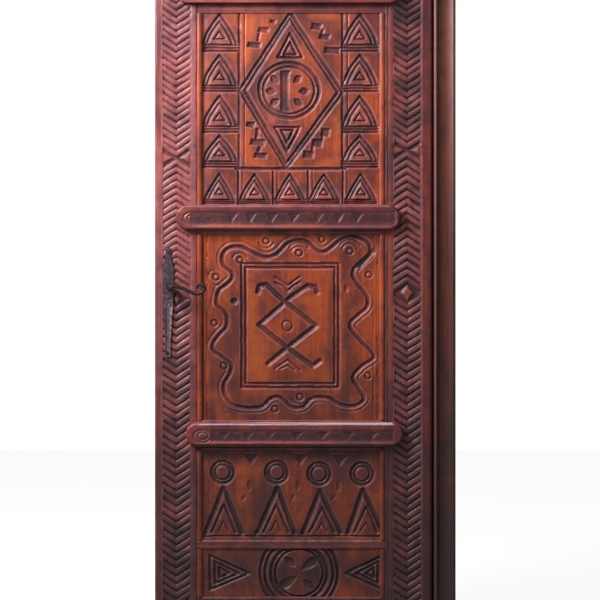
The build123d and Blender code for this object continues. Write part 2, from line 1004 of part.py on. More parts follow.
with BuildPart() as strike_jamb:
    block(
        lining_left,
        lining_right,
        lining_front,
        frame_back,
        sill_height - housing_depth,
        head_low + housing_depth,
    )
    block(
        lining_right - strike_thickness,
        lining_right,
        lining_front,
        lining_front + strike_depth,
        strike_low,
        strike_high,
        Mode.SUBTRACT,
    )
    block(notch_left, lining_right, lining_front, notch_back, notch_low, notch_high, Mode.SUBTRACT)
save(strike_jamb, "strike_jamb")

with BuildPart() as strike_plate:
    block(
        lining_right - strike_thickness,
        lining_right,
        lining_front,
        lining_front + strike_depth,
        strike_low,
        strike_high,
    )
    block(
        lining_right - strike_thickness,
        lining_right,
        lining_front,
        notch_back,
        notch_low,
        notch_high,
        Mode.SUBTRACT,
    )
save(strike_plate, "strike_plate")

# Frame: head and sill, cut for the post's tenons, the lining's housings and the pivot sockets
socket_depth = pin_reach + socket_floor


def socket_body(mouth_z, into, mode=Mode.ADD):
    """The outside of a pivot socket: a plate flush with the frame and a boss round the pin."""
    block(
        pivot_plate_left,
        pivot_plate_right,
        pivot_plate_near,
        pivot_plate_far,
        min(mouth_z, mouth_z + into * socket_plate_thickness),
        max(mouth_z, mouth_z + into * socket_plate_thickness),
        mode,
    )
    with BuildSketch(Plane.XY.offset(mouth_z)) as boss:
        with Locations((pivot_x, pivot_y)):
            Rectangle(2 * socket_boss_radius, pivot_plate_width)
    extrude(boss.sketch, amount=into * socket_depth, mode=mode)


def socket_bore(mouth_z, into):
    """The blind bore that the pivot pin turns in."""
    with BuildSketch(Plane.XY.offset(mouth_z)) as bore:
        with Locations((pivot_x, pivot_y)):
            Circle(pin_radius + pin_clearance)
    extrude(bore.sketch, amount=into * pin_reach, mode=Mode.SUBTRACT)


def frame_joints(face_z, into):
    """Cut the post's mortise, the lining's housing and the pivot socket's seat."""
    for left, right, near, far, depth in (
        (tenon_left, tenon_right, tenon_near, tenon_far, post_tenon_length),
        (lining_left, lining_right, lining_front, frame_back, housing_depth),
    ):
        end_z = face_z + into * depth
        block(left, right, near, far, min(face_z, end_z), max(face_z, end_z), Mode.SUBTRACT)
    socket_body(face_z, into, Mode.SUBTRACT)


with BuildPart() as frame_head:
    block(lining_left, post_right, frame_front, frame_back, head_low, head_top)
    block(
        lining_right,
        post_left - stop_width,
        stop_front,
        frame_back,
        head_low - stop_width,
        head_low,
    )
    frame_joints(head_low, 1)
save(frame_head, "frame_head")

with BuildPart() as frame_sill:
    block(lining_left, post_right, frame_front, frame_back, 0, sill_height)
    frame_joints(sill_height, -1)
save(frame_sill, "frame_sill")

with BuildPart() as upper_socket:
    socket_body(head_low, 1)
    socket_bore(head_low, 1)
save(upper_socket, "upper_socket")

with BuildPart() as lower_socket:
    socket_body(sill_height, -1)
    socket_bore(sill_height, -1)
save(lower_socket, "lower_socket")


# Leaf: iron pivots let into the ends of the hinge stile
def pivot_plate(low):
    """The plate that carries a pivot pin."""
    block(
        pivot_plate_left,
        pivot_plate_right,
        pivot_plate_near,
        pivot_plate_far,
        low,
        low + pivot_plate_thickness,
    )


def pivot_pin(start_z, end_z):
    """The round pin on the leaf's turning axis."""
    with BuildSketch(Plane.XY.offset(start_z)) as pin:
        with Locations((pivot_x, pivot_y)):
            Circle(pin_radius)
    extrude(pin.sketch, amount=end_z - start_z)


with BuildPart() as upper_pivot:
    pivot_plate(leaf_top - pivot_plate_thickness)
    pivot_pin(leaf_top, head_low + pin_reach - collar_rest)
save(upper_pivot, "upper_pivot")

with BuildPart() as lower_pivot:
    pivot_plate(leaf_bottom)
    with BuildSketch(Plane.XY.offset(leaf_bottom)) as collar:
        with Locations((pivot_x, pivot_y)):
            RegularPolygon(collar_radius, collar_sides)
    extrude(collar.sketch, amount=sill_height + collar_rest - leaf_bottom)
    pivot_pin(sill_height + collar_rest, sill_height - pin_reach + collar_rest)
save(lower_pivot, "lower_pivot")


# Handle: long wrought plates on both faces, levers on one square spindle
def plate_outline():
    """The plate's outline: two curved sides between its lower and its upper tip."""
    side = [
        (plate_end_half_width, -plate_below),
        (plate_end_half_width, -plate_below + plate_waist),
        (plate_half_width, -plate_shoulder / 2),
        (plate_half_width, plate_shoulder),
        (plate_end_half_width, plate_above - plate_waist / 2),
        (plate_end_half_width, plate_above),
    ]
    right = [(plate_x + x, spindle_z + z) for x, z in side]
    left = [(plate_x - x, spindle_z + z) for x, z in side]
    Polygon(*right, *reversed(left), align=None)


def plate_holes(face, reach):
    """Cut the hole for the lever's seat and the two nail holes."""
    with BuildSketch(face) as holes:
        with Locations((spindle_x, spindle_z)):
            Circle(lever_seat_radius + lever_clearance)
        with Locations(*nail_places):
            Rectangle(nail_width, nail_width)
    extrude(holes.sketch, amount=reach, mode=Mode.SUBTRACT)


with BuildPart() as front_plate:
    with BuildSketch(front) as outline:
        plate_outline()
    extrude(outline.sketch, amount=plate_thickness)
    with BuildSketch(at_depth(-plate_thickness)) as ridge:
        with Locations((plate_x, spindle_z - ridge_top - ridge_length / 2)):
            Rectangle(ridge_width, ridge_length)
    extrude(ridge.sketch, amount=ridge_height, taper=ridge_taper)
    plate_holes(at_depth(-plate_thickness), -plate_thickness)
save(front_plate, "front_plate")

with BuildPart() as back_plate:
    with BuildSketch(at_depth(leaf_thickness)) as outline:
        plate_outline()
    extrude(outline.sketch, amount=-plate_thickness)
    plate_holes(at_depth(back_face), plate_thickness)
save(back_plate, "back_plate")

with BuildPart() as plate_nails:
    for face, out in ((at_depth(-plate_thickness), 1), (at_depth(back_face), -1)):
        with BuildSketch(face) as shanks:
            with Locations(*nail_places):
                Rectangle(nail_width, nail_width)
        extrude(shanks.sketch, amount=-out * nail_length)
        with BuildSketch(face) as heads:
            with Locations(*nail_places):
                Rectangle(nail_head_width, nail_head_width)
        extrude(heads.sketch, amount=out * nail_head_height, taper=nail_head_taper)
save(plate_nails, "plate_nails")

hub_face = plate_thickness + lever_clearance
grip_face = plate_thickness + lever_stand_off


def lever(face_y, out):
    """A lever whose seat turns in the plate, with a grip that ends in an upward curl."""
    with BuildSketch(at_depth(face_y)) as seat:
        with Locations((spindle_x, spindle_z)):
            Circle(lever_seat_radius)
    extrude(seat.sketch, amount=out * hub_face)
    for start, end, radius in (
        (hub_face, hub_face + lever_hub_length, lever_hub_radius),
        (hub_face + lever_hub_length, grip_face + lever_width / 2, lever_neck_radius),
    ):
        with BuildSketch(at_depth(face_y - out * start)) as forging:
            with Locations((spindle_x, spindle_z)):
                RegularPolygon(radius, lever_hub_sides, rotation=180 / lever_hub_sides)
        extrude(forging.sketch, amount=out * (end - start))
    with BuildLine(at_depth(face_y - out * grip_face)) as grip:
        arm = Line((spindle_x, spindle_z), (spindle_x + lever_run, spindle_z - lever_droop))
        JernArc(arm @ 1, arm % 1, curl_radius, curl_turn)
    with BuildSketch(Plane(origin=grip.line @ 0, z_dir=grip.line % 0)) as bar:
        Rectangle(lever_width, lever_width)
    sweep(bar.sketch, path=grip.line)
    with BuildSketch(at_depth(face_y)) as socket:
        with Locations((spindle_x, spindle_z)):
            Rectangle(spindle_width, spindle_width)
    extrude(socket.sketch, amount=out * (hub_face + spindle_seat), mode=Mode.SUBTRACT)


with BuildPart() as front_lever:
    lever(0, 1)
save(front_lever, "front_lever")

with BuildPart() as back_lever:
    lever(leaf_thickness, -1)
save(back_lever, "back_lever")

with BuildPart() as spindle:
    with BuildSketch(at_depth(-hub_face - spindle_seat)) as square:
        with Locations((spindle_x, spindle_z)):
            Rectangle(spindle_width, spindle_width)
    extrude(square.sketch, amount=-(leaf_thickness + 2 * (hub_face + spindle_seat)))
save(spindle, "spindle")

# Lock: case, cover, forend, follower, spring and latch bolt
journal_hole = follower_journal + lever_clearance
follower_near = case_front + case_wall + follower_setback


def journal_bore(near, far):
    """Cut the round hole that a follower journal turns in."""
    with BuildSketch(at_depth(near)) as bore:
        with Locations((spindle_x, spindle_z)):
            Circle(journal_hole)
    extrude(bore.sketch, amount=near - far, mode=Mode.SUBTRACT)


bolt_near = lock_y - bolt_thickness / 2
bolt_far = lock_y + bolt_thickness / 2

with BuildPart() as lock_case:
    block(case_left, case_right, case_front, case_back - case_wall, case_low, case_high)
    block(
        case_left + case_wall,
        case_right - case_wall,
        case_front + case_wall,
        case_back - case_wall,
        case_low + case_wall,
        case_high - case_wall,
        Mode.SUBTRACT,
    )
    journal_bore(case_front, case_front + case_wall)
    block(
        case_left,
        case_left + case_wall,
        bolt_near - bolt_clearance,
        bolt_far + bolt_clearance,
        spindle_z - bolt_height / 2 - bolt_clearance,
        spindle_z + bolt_height / 2 + bolt_clearance,
        Mode.SUBTRACT,
    )
save(lock_case, "lock_case")

with BuildPart() as lock_cover:
    block(case_left, case_right, case_back - case_wall, case_back, case_low, case_high)
    journal_bore(case_back - case_wall, case_back)
save(lock_cover, "lock_cover")

with BuildPart() as lock_forend:
    block(body_left, case_left, lip_thickness, leaf_thickness, forend_low, forend_high)
    block(
        body_left,
        case_left,
        bolt_near - bolt_clearance,
        bolt_far + bolt_clearance,
        spindle_z - bolt_height / 2 - bolt_clearance,
        spindle_z + bolt_height / 2 + bolt_clearance,
        Mode.SUBTRACT,
    )
save(lock_forend, "lock_forend")

with BuildPart() as follower:
    with BuildSketch(at_depth(follower_near)) as disc:
        with Locations((spindle_x, spindle_z)):
            RegularPolygon(follower_radius, follower_sides)
            with Locations((0, follower_cam / 2)):
                Rectangle(follower_cam_width, follower_cam)
    extrude(disc.sketch, amount=-follower_thickness)
    with BuildSketch(at_depth(case_front)) as journal:
        with Locations((spindle_x, spindle_z)):
            Circle(follower_journal)
    extrude(journal.sketch, amount=-case_thickness)
    with BuildSketch(at_depth(case_front)) as square:
        with Locations((spindle_x, spindle_z)):
            Rectangle(spindle_width, spindle_width)
    extrude(square.sketch, amount=-case_thickness, mode=Mode.SUBTRACT)
save(follower, "follower")

# The cam pushes the lug at the end of the latch's tail, which passes over the follower
bolt_tip = body_left - bolt_throw
bolt_end = bolt_tip + bolt_length
tail_low = spindle_z + follower_radius + tail_gap * 2
lug_left = spindle_x + follower_cam_width / 2 + tail_gap / 2
lug_right = lug_left + lug_length

with BuildPart() as latch_bolt:
    with BuildSketch(Plane.XY.offset(spindle_z - bolt_height / 2)) as head:
        Polygon(
            (bolt_tip, bolt_near),
            (bolt_end, bolt_near),
            (bolt_end, bolt_far),
            (body_left, bolt_far),
            (bolt_tip, bolt_near + bolt_clearance),
            align=None,
        )
    extrude(head.sketch, amount=bolt_height)
    block(
        spindle_x - follower_radius - bolt_throw - tail_gap,
        bolt_end,
        bolt_near,
        bolt_far,
        spindle_z - follower_radius - tail_gap,
        spindle_z + follower_radius + tail_gap,
        Mode.SUBTRACT,
    )
    block(
        bolt_end,
        lug_right,
        bolt_far - tail_thickness,
        bolt_far,
        tail_low,
        tail_low + tail_height,
    )
    block(lug_left, lug_right, follower_near, bolt_far, tail_low, tail_low + tail_height)
save(latch_bolt, "latch_bolt")

spring_left = spindle_x + follower_radius + tail_gap / 2
spring_near = lock_y - spring_width / 2
with BuildPart() as lever_spring:
    block(
        spring_left,
        spring_left + spring_thickness,
        spring_near,
        spring_near + spring_width,
        case_low + case_wall,
        spindle_z,
    )
    block(
        spring_left,
        case_right - case_wall,
        spring_near,
        spring_near + spring_width,
        case_low + case_wall,
        case_low + case_wall + spring_thickness,
    )
save(lever_spring, "lever_spring")
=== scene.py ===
# %% [markdown]
# # A carved wooden door in its frame
#
# The real door is one leaf of red brown hardwood, hung on pivots in a moulded frame. Its maker cut
# chevrons into the two stiles, geometric patterns into four panels, and planted two carved battens
# across the leaf. The solids already hold every board at its true size. This lesson gives the
# boards that face the viewer their hand cut relief, their varnish, stain and wear, and painted
# light and shade.
#
# All places are in one frame: X runs from the lock side to the pivot side, Y runs away from the
# viewer, and Z is up.

# %% Load the solids
import math

import bmesh
import bpy
import numpy as np
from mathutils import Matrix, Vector


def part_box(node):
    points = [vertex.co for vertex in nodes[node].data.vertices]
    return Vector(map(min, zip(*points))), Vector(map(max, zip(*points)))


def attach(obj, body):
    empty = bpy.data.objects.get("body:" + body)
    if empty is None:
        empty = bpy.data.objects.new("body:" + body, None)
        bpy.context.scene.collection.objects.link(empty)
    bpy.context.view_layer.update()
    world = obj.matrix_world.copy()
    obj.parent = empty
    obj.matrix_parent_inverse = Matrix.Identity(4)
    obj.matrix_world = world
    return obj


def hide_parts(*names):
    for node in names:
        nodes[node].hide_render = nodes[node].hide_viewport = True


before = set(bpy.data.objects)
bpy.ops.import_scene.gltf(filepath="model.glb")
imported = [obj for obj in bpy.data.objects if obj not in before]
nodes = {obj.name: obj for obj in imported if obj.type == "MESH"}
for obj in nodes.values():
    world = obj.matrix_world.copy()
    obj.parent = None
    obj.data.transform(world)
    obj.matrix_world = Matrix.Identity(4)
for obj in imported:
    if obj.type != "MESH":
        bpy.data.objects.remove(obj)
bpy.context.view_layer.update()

# %% [markdown]
# ## A drawing board
#
# The carver laid the pattern out on the boards with a rule, so the pattern is drawn here in steps
# of three millimetres, across from the left and down from the top, on one sheet that covers the
# door. `spot` turns a place on that sheet into millimetres on the door.

# %% Drawing units
STEP = 3.0
SHEET_MIDDLE = 294
SHEET_TOP = 1952
MM = 0.001


def spot(across, down):
    return ((across - SHEET_MIDDLE) * STEP, SHEET_TOP - STEP * down)


def spots(*pairs):
    return [spot(across, down) for across, down in pairs]


print("one step of the drawing is", STEP, "mm")

# %% [markdown]
# ## Relief as a field of heights
#
# A carved board is a flat face with cuts that go in from one side only, so a grid of depths
# describes it fully. Painting strokes into a numpy array is how a gouge works: each pass lowers
# the wood under it, and a later pass never puts wood back. A little smooth noise bends the grid
# first, so no line is quite straight, as in hand work.


# %% Soft steps, noise and averages
def smooth_step(value, low=0.0, high=1.0):
    t = np.clip((value - low) / (high - low), 0, 1)
    return t * t * (3 - 2 * t)


def smooth_noise(shape, cell, seed):
    """Noise between -1 and 1 that changes smoothly over about cell grid steps."""
    rows, cols = (max(2, int(size / cell) + 3) for size in shape)
    coarse = np.random.default_rng(seed).uniform(-1, 1, (rows, cols))
    r = np.linspace(0, rows - 2.001, shape[0])
    c = np.linspace(0, cols - 2.001, shape[1])
    r0, c0 = r.astype(int), c.astype(int)
    tr, tc = smooth_step(r - r0)[:, None], smooth_step(c - c0)[None, :]
    a, b = (
        coarse[np.ix_(k, c0)] * (1 - tc) + coarse[np.ix_(k, c0 + 1)] * tc for k in (r0, r0 + 1)
    )
    return a * (1 - tr) + b * tr


def blurred(field, reach):
    """Three box averages one after the other, which is close to a soft round brush."""
    size = 2 * reach + 1
    for _ in range(3):
        for axis in (0, 1):
            margin = [(0, 0), (0, 0)]
            margin[axis] = (reach + 1, reach)
            total = np.cumsum(np.pad(field, margin, mode="edge"), axis=axis)
            length = total.shape[axis]
            after = np.take(total, range(size, length), axis)
            before = np.take(total, range(length - size), axis)
            field = (after - before) / size
    return field


print("soft step halfway", smooth_step(0.5))


# %% The relief board
class Relief:
    """Depths below a board's face, in millimetres, on a grid over the board."""

    def __init__(self, left, right, low, high, face, grid, seed, wobble=0.8, soak=1.0):
        self.x = np.linspace(left, right, int(round((right - left) / grid)) + 1)
        self.z = np.linspace(low, high, int(round((high - low) / grid)) + 1)
        self.face = face
        flat_x, flat_z = np.meshgrid(self.x, self.z)
        shape = flat_x.shape
        self.wobble = wobble
        self.X = flat_x + wobble * smooth_noise(shape, 26 / grid, seed)
        self.Z = flat_z + wobble * smooth_noise(shape, 22 / grid, seed + 1)
        plane = 0.25 + 0.18 * smooth_noise(shape, 45 / grid, seed + 2)
        self.cut = plane + 0.07 * smooth_noise(shape, 9 / grid, seed + 3)
        self.rough = smooth_noise(shape, 7 / grid, seed + 4)
        self.soak = soak
        self.paint = {name: np.zeros(shape) for name in ("stain_and_shade", "wear_and_highlight", "bare_and_lit")}

    def window(self, points, reach):
        """The part of the grid within reach of the points."""
        reach += self.wobble + 1
        xs, zs = [p[0] for p in points], [p[1] for p in points]
        rows = slice(*np.searchsorted(self.z, (min(zs) - reach, max(zs) + reach)))
        cols = slice(*np.searchsorted(self.x, (min(xs) - reach, max(xs) + reach)))
        return rows, cols

    def near(self, points, reach):
        """Distance to a line through the points, and the window it was measured in."""
        part = self.window(points, reach)
        X, Z = self.X[part], self.Z[part]
        distance = np.full(X.shape, float(reach) * 4)
        for (x0, z0), (x1, z1) in zip(points[:-1], points[1:]):
            run = max((x1 - x0) ** 2 + (z1 - z0) ** 2, 1e-9)
            t = np.clip(((X - x0) * (x1 - x0) + (Z - z0) * (z1 - z0)) / run, 0, 1)
            away = np.hypot(X - x0 - t * (x1 - x0), Z - z0 - t * (z1 - z0))
            distance = np.minimum(distance, away)
        return distance, part

    def inside(self, points):
        """Which grid points of a window lie inside a polygon, and how far from its edge."""
        closed = list(points) + [points[0]]
        distance, part = self.near(closed, 2)
        X, Z = self.X[part], self.Z[part]
        within = np.zeros(X.shape, bool)
        for (x0, z0), (x1, z1) in zip(closed[:-1], closed[1:]):
            if z0 != z1:
                crosses = (z0 > Z) != (z1 > Z)
                within ^= crosses & (X < (x1 - x0) * (Z - z0) / (z1 - z0) + x0)
        return within, distance, part

    def sink(self, part, depth):
        rough = 1 + 0.08 * self.rough[part]
        self.cut[part] = np.maximum(self.cut[part], depth * rough)

    def groove(self, points, width, depth=6.5, closed=False):
        """A gouge cut along a line: sloping walls and a round bottom."""
        line = list(points) + ([points[0]] if closed else [])
        distance, part = self.near(line, width / 2)
        t = np.clip(1.15 - 2.3 * distance / width, 0, 1)
        self.sink(part, depth * (0.5 * smooth_step(t) + 0.5 * t * (2 - t)))

    def pit(self, points, depth=6.5, wall=4.0):
        """A sunk shape with sloping walls."""
        within, distance, part = self.inside(points)
        t = np.clip(distance / wall, 0, 1)
        self.sink(part, np.where(within, depth * t * (2 - t), 0))

    def dome(self, points, depth, wall):
        """A shape left standing in a sunk field, falling off towards its edge."""
        within, distance, part = self.inside(points)
        t = np.clip(distance / wall, 0, 1)
        raised = depth * (1 - t * (2 - t)) + 0.4
        self.cut[part] = np.where(within, np.minimum(self.cut[part], raised), self.cut[part])

    def bead(self, middle, half, depth, upright=True):
        """A rounded ridge along the whole board, whose edges lie depth millimetres down."""
        u = ((self.X if upright else self.Z) - middle) / half
        fall = depth * (1 - np.sqrt(1 - np.clip(u * u, 0, 0.995)))
        self.cut = np.where(np.abs(u) <= 1, np.maximum(self.cut, fall + 0.2), self.cut)

    def brush(self, name, points, width, amount=1.0):
        """Paint stain, wear or unvarnished wood along a line with a soft brush; these marks
        also carry painted shade, painted highlights and painted light.
        """
        distance, part = self.near(list(points), width / 2)
        t = np.clip(1 - 2 * distance / width, 0, 1)
        uneven = 0.85 + 0.3 * self.rough[part]
        field = self.paint[name]
        field[part] = np.maximum(field[part], amount * smooth_step(t) * uneven)

    def finish_marks(self, halo, reach=5):
        """Where old stain stays, in and round the cuts, and where edges are worn lighter, with the
        painted shade, highlights and light that were brushed in.
        """
        near = blurred(self.cut, reach // 2)
        soft = blurred(self.cut, reach)
        wide = blurred(self.cut, reach * 3)
        stain_and_shade = (
            0.5 * smooth_step(self.cut, 1.6, 5.4)
            + halo * 0.45 * smooth_step(soft, 0.7, 3.6)
            + halo * 0.4 * smooth_step(wide, 0.8, 3.2)
        )
        wear_and_highlight = 0.85 * smooth_step(near - self.cut, 0.35, 1.9)
        stain_and_shade = np.clip(np.maximum(stain_and_shade, self.paint["stain_and_shade"] * 0.8 + stain_and_shade * 0.5), 0, 1)
        wear_and_highlight = np.clip(np.maximum(wear_and_highlight, self.paint["wear_and_highlight"]), 0, 2)
        bare_and_lit = np.clip(self.paint["bare_and_lit"], 0, 1) * (1 - smooth_step(self.cut, 1.2, 4.0))
        return {"stain_and_shade": stain_and_shade * (1 - 0.8 * bare_and_lit) * self.soak, "wear_and_highlight": wear_and_highlight, "bare_and_lit": bare_and_lit}

    def round_edge(self, left, right, low, high, radius=2.5, wear=0.0, seed=5):
        """Ease the board's four outer edges, more in some places than in others."""
        flat_x, flat_z = np.meshgrid(self.x, self.z)
        away = np.minimum.reduce([flat_x - left, right - flat_x, flat_z - low, high - flat_z])
        own = radius * (1 + wear * smooth_noise(away.shape, 12, seed))
        t = np.clip(1 - away / own, 0, 1)
        self.cut += own * (1 - np.sqrt(1 - np.minimum(t, 0.999) ** 2))


print("relief board ready")

# %% [markdown]
# ## From relief to a closed board
#
# The relief only knows the front. The joints, grooves and holes behind it are in the solid, so
# the finished board is the solid's own mesh, filled up in front where its plain carving was, and
# then intersected with a deep block whose front face is the relief. That keeps tenons, rebates
# and mortises as they are. The manifold solver does this in a moment on closed meshes.


# %% Relief block
BLOCK_BACK = 70


def placed(name, data):
    """A new object in the scene for a mesh, a lamp or a camera."""
    piece = bpy.data.objects.new(name, data)
    bpy.context.scene.collection.objects.link(piece)
    return piece


def mesh_object(name, verts, faces):
    mesh = bpy.data.meshes.new(name)
    mesh.from_pydata([tuple(v) for v in verts], [], faces)
    return placed(name, mesh)


def relief_block(relief):
    """A closed block whose front is the relief and whose back is flat, behind every board."""
    rows, cols = relief.cut.shape
    flat_x, flat_z = np.meshgrid(relief.x, relief.z)
    front = np.stack([flat_x, relief.face + relief.cut, flat_z], axis=-1).reshape(-1, 3)
    index = np.arange(rows * cols).reshape(rows, cols)
    corners = [index[:-1, :-1], index[:-1, 1:], index[1:, 1:], index[1:, :-1]]
    faces = np.stack(corners, axis=-1).reshape(-1, 4).tolist()
    rim = np.concatenate([index[0, :-1], index[:-1, -1], index[-1, :0:-1], index[:0:-1, 0]])
    behind = front[rim].copy()
    behind[:, 1] = BLOCK_BACK
    middle = np.array([[behind[:, 0].mean(), BLOCK_BACK, behind[:, 2].mean()]])
    first, count = rows * cols, len(rim)
    for k in range(count):
        n = (k + 1) % count
        faces.append([int(rim[n]), int(rim[k]), first + k, first + n])
        faces.append([first + count, first + n, first + k])
    return mesh_object("block", np.concatenate([front, behind, middle]) * MM, faces)


def box_object(left, right, near, far, low, high):
    corners = [(x, y, z) for x in (left, right) for y in (near, far) for z in (low, high)]
    faces = [(0, 1, 3, 2), (4, 6, 7, 5), (0, 4, 5, 1), (2, 3, 7, 6), (0, 2, 6, 4), (1, 5, 7, 3)]
    return mesh_object("box", np.array(corners) * MM, faces)


print("block helpers ready")


# %% Booleans on closed meshes
def plain(piece, name):
    """The piece's evaluated shape as a plain mesh in a new object; the old one is removed."""
    graph = bpy.context.evaluated_depsgraph_get()
    mesh = bpy.data.meshes.new_from_object(piece.evaluated_get(graph))
    mesh.name = name
    result = placed(name, mesh)
    bpy.data.objects.remove(piece)
    return result


def combine(piece, other, operation):
    change = piece.modifiers.new("combine", "BOOLEAN")
    change.operation, change.solver, change.object = operation, "MANIFOLD", other
    result = plain(piece, piece.name)
    bpy.data.objects.remove(other)
    return result


def welded_copy(node, name):
    """The solid's mesh, which is loose triangles, with its corners merged."""
    mesh = nodes[node].data.copy()
    work = bmesh.new()
    work.from_mesh(mesh)
    bmesh.ops.remove_doubles(work, verts=work.verts, dist=2e-6)
    work.to_mesh(mesh)
    work.free()
    mesh.materials.clear()
    return placed(name, mesh)


def soften(piece, angle=50):
    """Smooth shading, kept sharp at corners above the angle, and flat on the big plain faces."""
    mesh = piece.data
    # Normals stored in the solid's mesh would shade a new shape with diagonal streaks.
    if "custom_normal" in mesh.attributes:
        mesh.attributes.remove(mesh.attributes["custom_normal"])
    areas = np.empty(len(mesh.polygons))
    mesh.polygons.foreach_get("area", areas)
    mesh.polygons.foreach_set("use_smooth", areas < 1e-4)
    mesh.set_sharp_from_angle(angle=math.radians(angle))


print("boolean helpers ready")


# %% Marks at the points of a mesh
def mark(piece, fields):
    """Store numbers for each point, which the wood's material reads by name."""
    for name, values in fields.items():
        layer = piece.data.attributes.new(name, "FLOAT", "POINT")
        layer.data.foreach_set("value", np.ascontiguousarray(values, dtype=np.float32))


def points_of(piece):
    place = np.empty(len(piece.data.vertices) * 3)
    piece.data.vertices.foreach_get("co", place)
    return place.reshape(-1, 3).T / MM


def mark_from_relief(piece, relief, halo):
    """Read the relief's stain and wear at each point of the carved front, with the painted light
    and shade they carry.
    """
    x, y, z = points_of(piece)
    column, row = (
        np.clip((at - line[0]) / (line[1] - line[0]), 0, len(line) - 1.001)
        for at, line in ((x, relief.x), (z, relief.z))
    )
    c, r = column.astype(int), row.astype(int)
    tc, tr = column - c, row - r

    def read(field):
        near = field[r, c] * (1 - tc) + field[r, c + 1] * tc
        far = field[r + 1, c] * (1 - tc) + field[r + 1, c + 1] * tc
        return near * (1 - tr) + far * tr

    front = y < relief.face + read(relief.cut) + 1.0
    fields = relief.finish_marks(halo)
    mark(piece, {name: read(field) * front for name, field in fields.items()})


print("marking helpers ready")


# %% Carve a board
def triangle_count(piece):
    return sum(len(face.vertices) - 2 for face in piece.data.polygons)


def carve_front(node, name, relief, filler=None, halo=0.15):
    """The solid of one node with the relief for its front, and old stain round its cuts."""
    piece = welded_copy(node, name)
    if filler:
        piece = combine(piece, box_object(*filler), "UNION")
    piece = combine(piece, relief_block(relief), "INTERSECT")
    piece.name = name
    mark_from_relief(piece, relief, halo)
    soften(piece)
    print(name, "triangles", triangle_count(piece))
    return piece


def box_mm(node):
    low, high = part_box(node)
    return [v * 1000 for v in low], [v * 1000 for v in high]


print("board helpers ready")

# %% [markdown]
# ## Varnished wood
#
# The wood is a reddish hardwood under a dark varnish. Three things make it read as carved wood:
# stain that stays in and round the cuts, wood that is worn lighter along their edges, and a grain
# that runs along each board. The relief knows where the cuts are, so each board carries three
# numbers at its points, "stain_and_shade", "wear_and_highlight" and "bare_and_lit", and the
# material reads them. They also carry painted light: shade added by height and in a few brushed
# places, sheen and thin highlight lines on worn edges, and light on raised parts and batten edges.
# Grain is stretched noise, and painted shade darkens the lower door towards its foot.


# %% Colour and node helpers
def srgb(red, green, blue):
    """A colour given as it looks on a screen, 0 to 255, as the linear colour Blender wants."""

    def linear(value):
        value /= 255
        return value / 12.92 if value <= 0.04045 else ((value + 0.055) / 1.055) ** 2.4

    return (linear(red), linear(green), linear(blue), 1.0)


class Nodes:
    """Small helper that adds nodes, and feeds them plain values or other nodes' outputs."""

    def __init__(self, tree):
        self.tree = tree

    def put(self, node, inputs):
        for key, value in inputs.items():
            if isinstance(value, bpy.types.NodeSocket):
                self.tree.links.new(value, node.inputs[key])
            else:
                node.inputs[key].default_value = value
        return node

    def add(self, kind, inputs=None, **settings):
        node = self.tree.nodes.new(kind)
        for key, value in settings.items():
            setattr(node, key, value)
        return self.put(node, inputs or {})

    def math(self, operation, a, b=0.5, clamp=False):
        node = self.add("ShaderNodeMath", {0: a, 1: b}, operation=operation, use_clamp=clamp)
        return node.outputs[0]

    def times(self, a, b, clamp=False):
        return self.math("MULTIPLY", a, b, clamp)

    def ramp(self, value, low, high, out_low=0.0, out_high=1.0):
        """A soft rise from out_low to out_high while the value goes from low to high."""
        inputs = dict(enumerate((value, low, high, out_low, out_high)))
        return self.add("ShaderNodeMapRange", inputs, interpolation_type="SMOOTHSTEP").outputs[0]

    def mix(self, factor, a, b):
        inputs = {0: factor, 6: a, 7: b}
        return self.add("ShaderNodeMix", inputs, data_type="RGBA", clamp_factor=True).outputs[2]

    def noise(self, vector, scale, detail=4.0, roughness=0.55):
        inputs = {"Vector": vector, "Scale": scale, "Detail": detail, "Roughness": roughness}
        return self.add("ShaderNodeTexNoise", inputs).outputs["Fac"]

    def stretched(self, vector, scale):
        return self.add("ShaderNodeMapping", {"Vector": vector, "Scale": scale}).outputs["Vector"]

    def axes(self, vector):
        return self.add("ShaderNodeSeparateXYZ", {0: vector}).outputs

    def mark(self, name):
        return self.add("ShaderNodeAttribute", attribute_name=name).outputs["Fac"]

    def bump(self, height, strength, distance):
        inputs = {"Height": height, "Strength": strength, "Distance": distance}
        return self.add("ShaderNodeBump", inputs).outputs["Normal"]


print("colour of old varnish", [round(v, 3) for v in srgb(60, 28, 33)])


# %% Wood material
def new_material(name):
    """A material with its node helper, its shader and the places in the piece's own space."""
    material = bpy.data.materials.new(name)
    material.use_nodes = True
    n = Nodes(material.node_tree)
    place = n.add("ShaderNodeTexCoord").outputs["Object"]
    return material, n, material.node_tree.nodes["Principled BSDF"], place


def post_top_and_highlights(n, colour, axes, patch):
    """The post's upper part is lighter, and painted highlights lie on its outer edge
    and along one ridge.
    """
    high = n.ramp(axes["Z"], 1.0, 1.8, 0.0, 0.75)
    edge = n.times(high, n.ramp(axes["X"], 0.466, 0.48))
    ridge = n.times(n.ramp(axes["X"], 0.419, 0.423), n.ramp(axes["X"], 0.431, 0.427))
    ridge = n.times(ridge, n.ramp(axes["Z"], 0.3, 1.7, 0.08, 0.34))
    lighter_top = n.times(high, n.ramp(patch, 0.3, 0.7, 1.0, 0.4))
    colour = n.mix(lighter_top, colour, srgb(132, 70, 48))
    # Painted highlights on the outer edge and along the bead.
    colour = n.mix(edge, colour, srgb(150, 100, 98))
    return n.mix(ridge, colour, srgb(184, 140, 138))


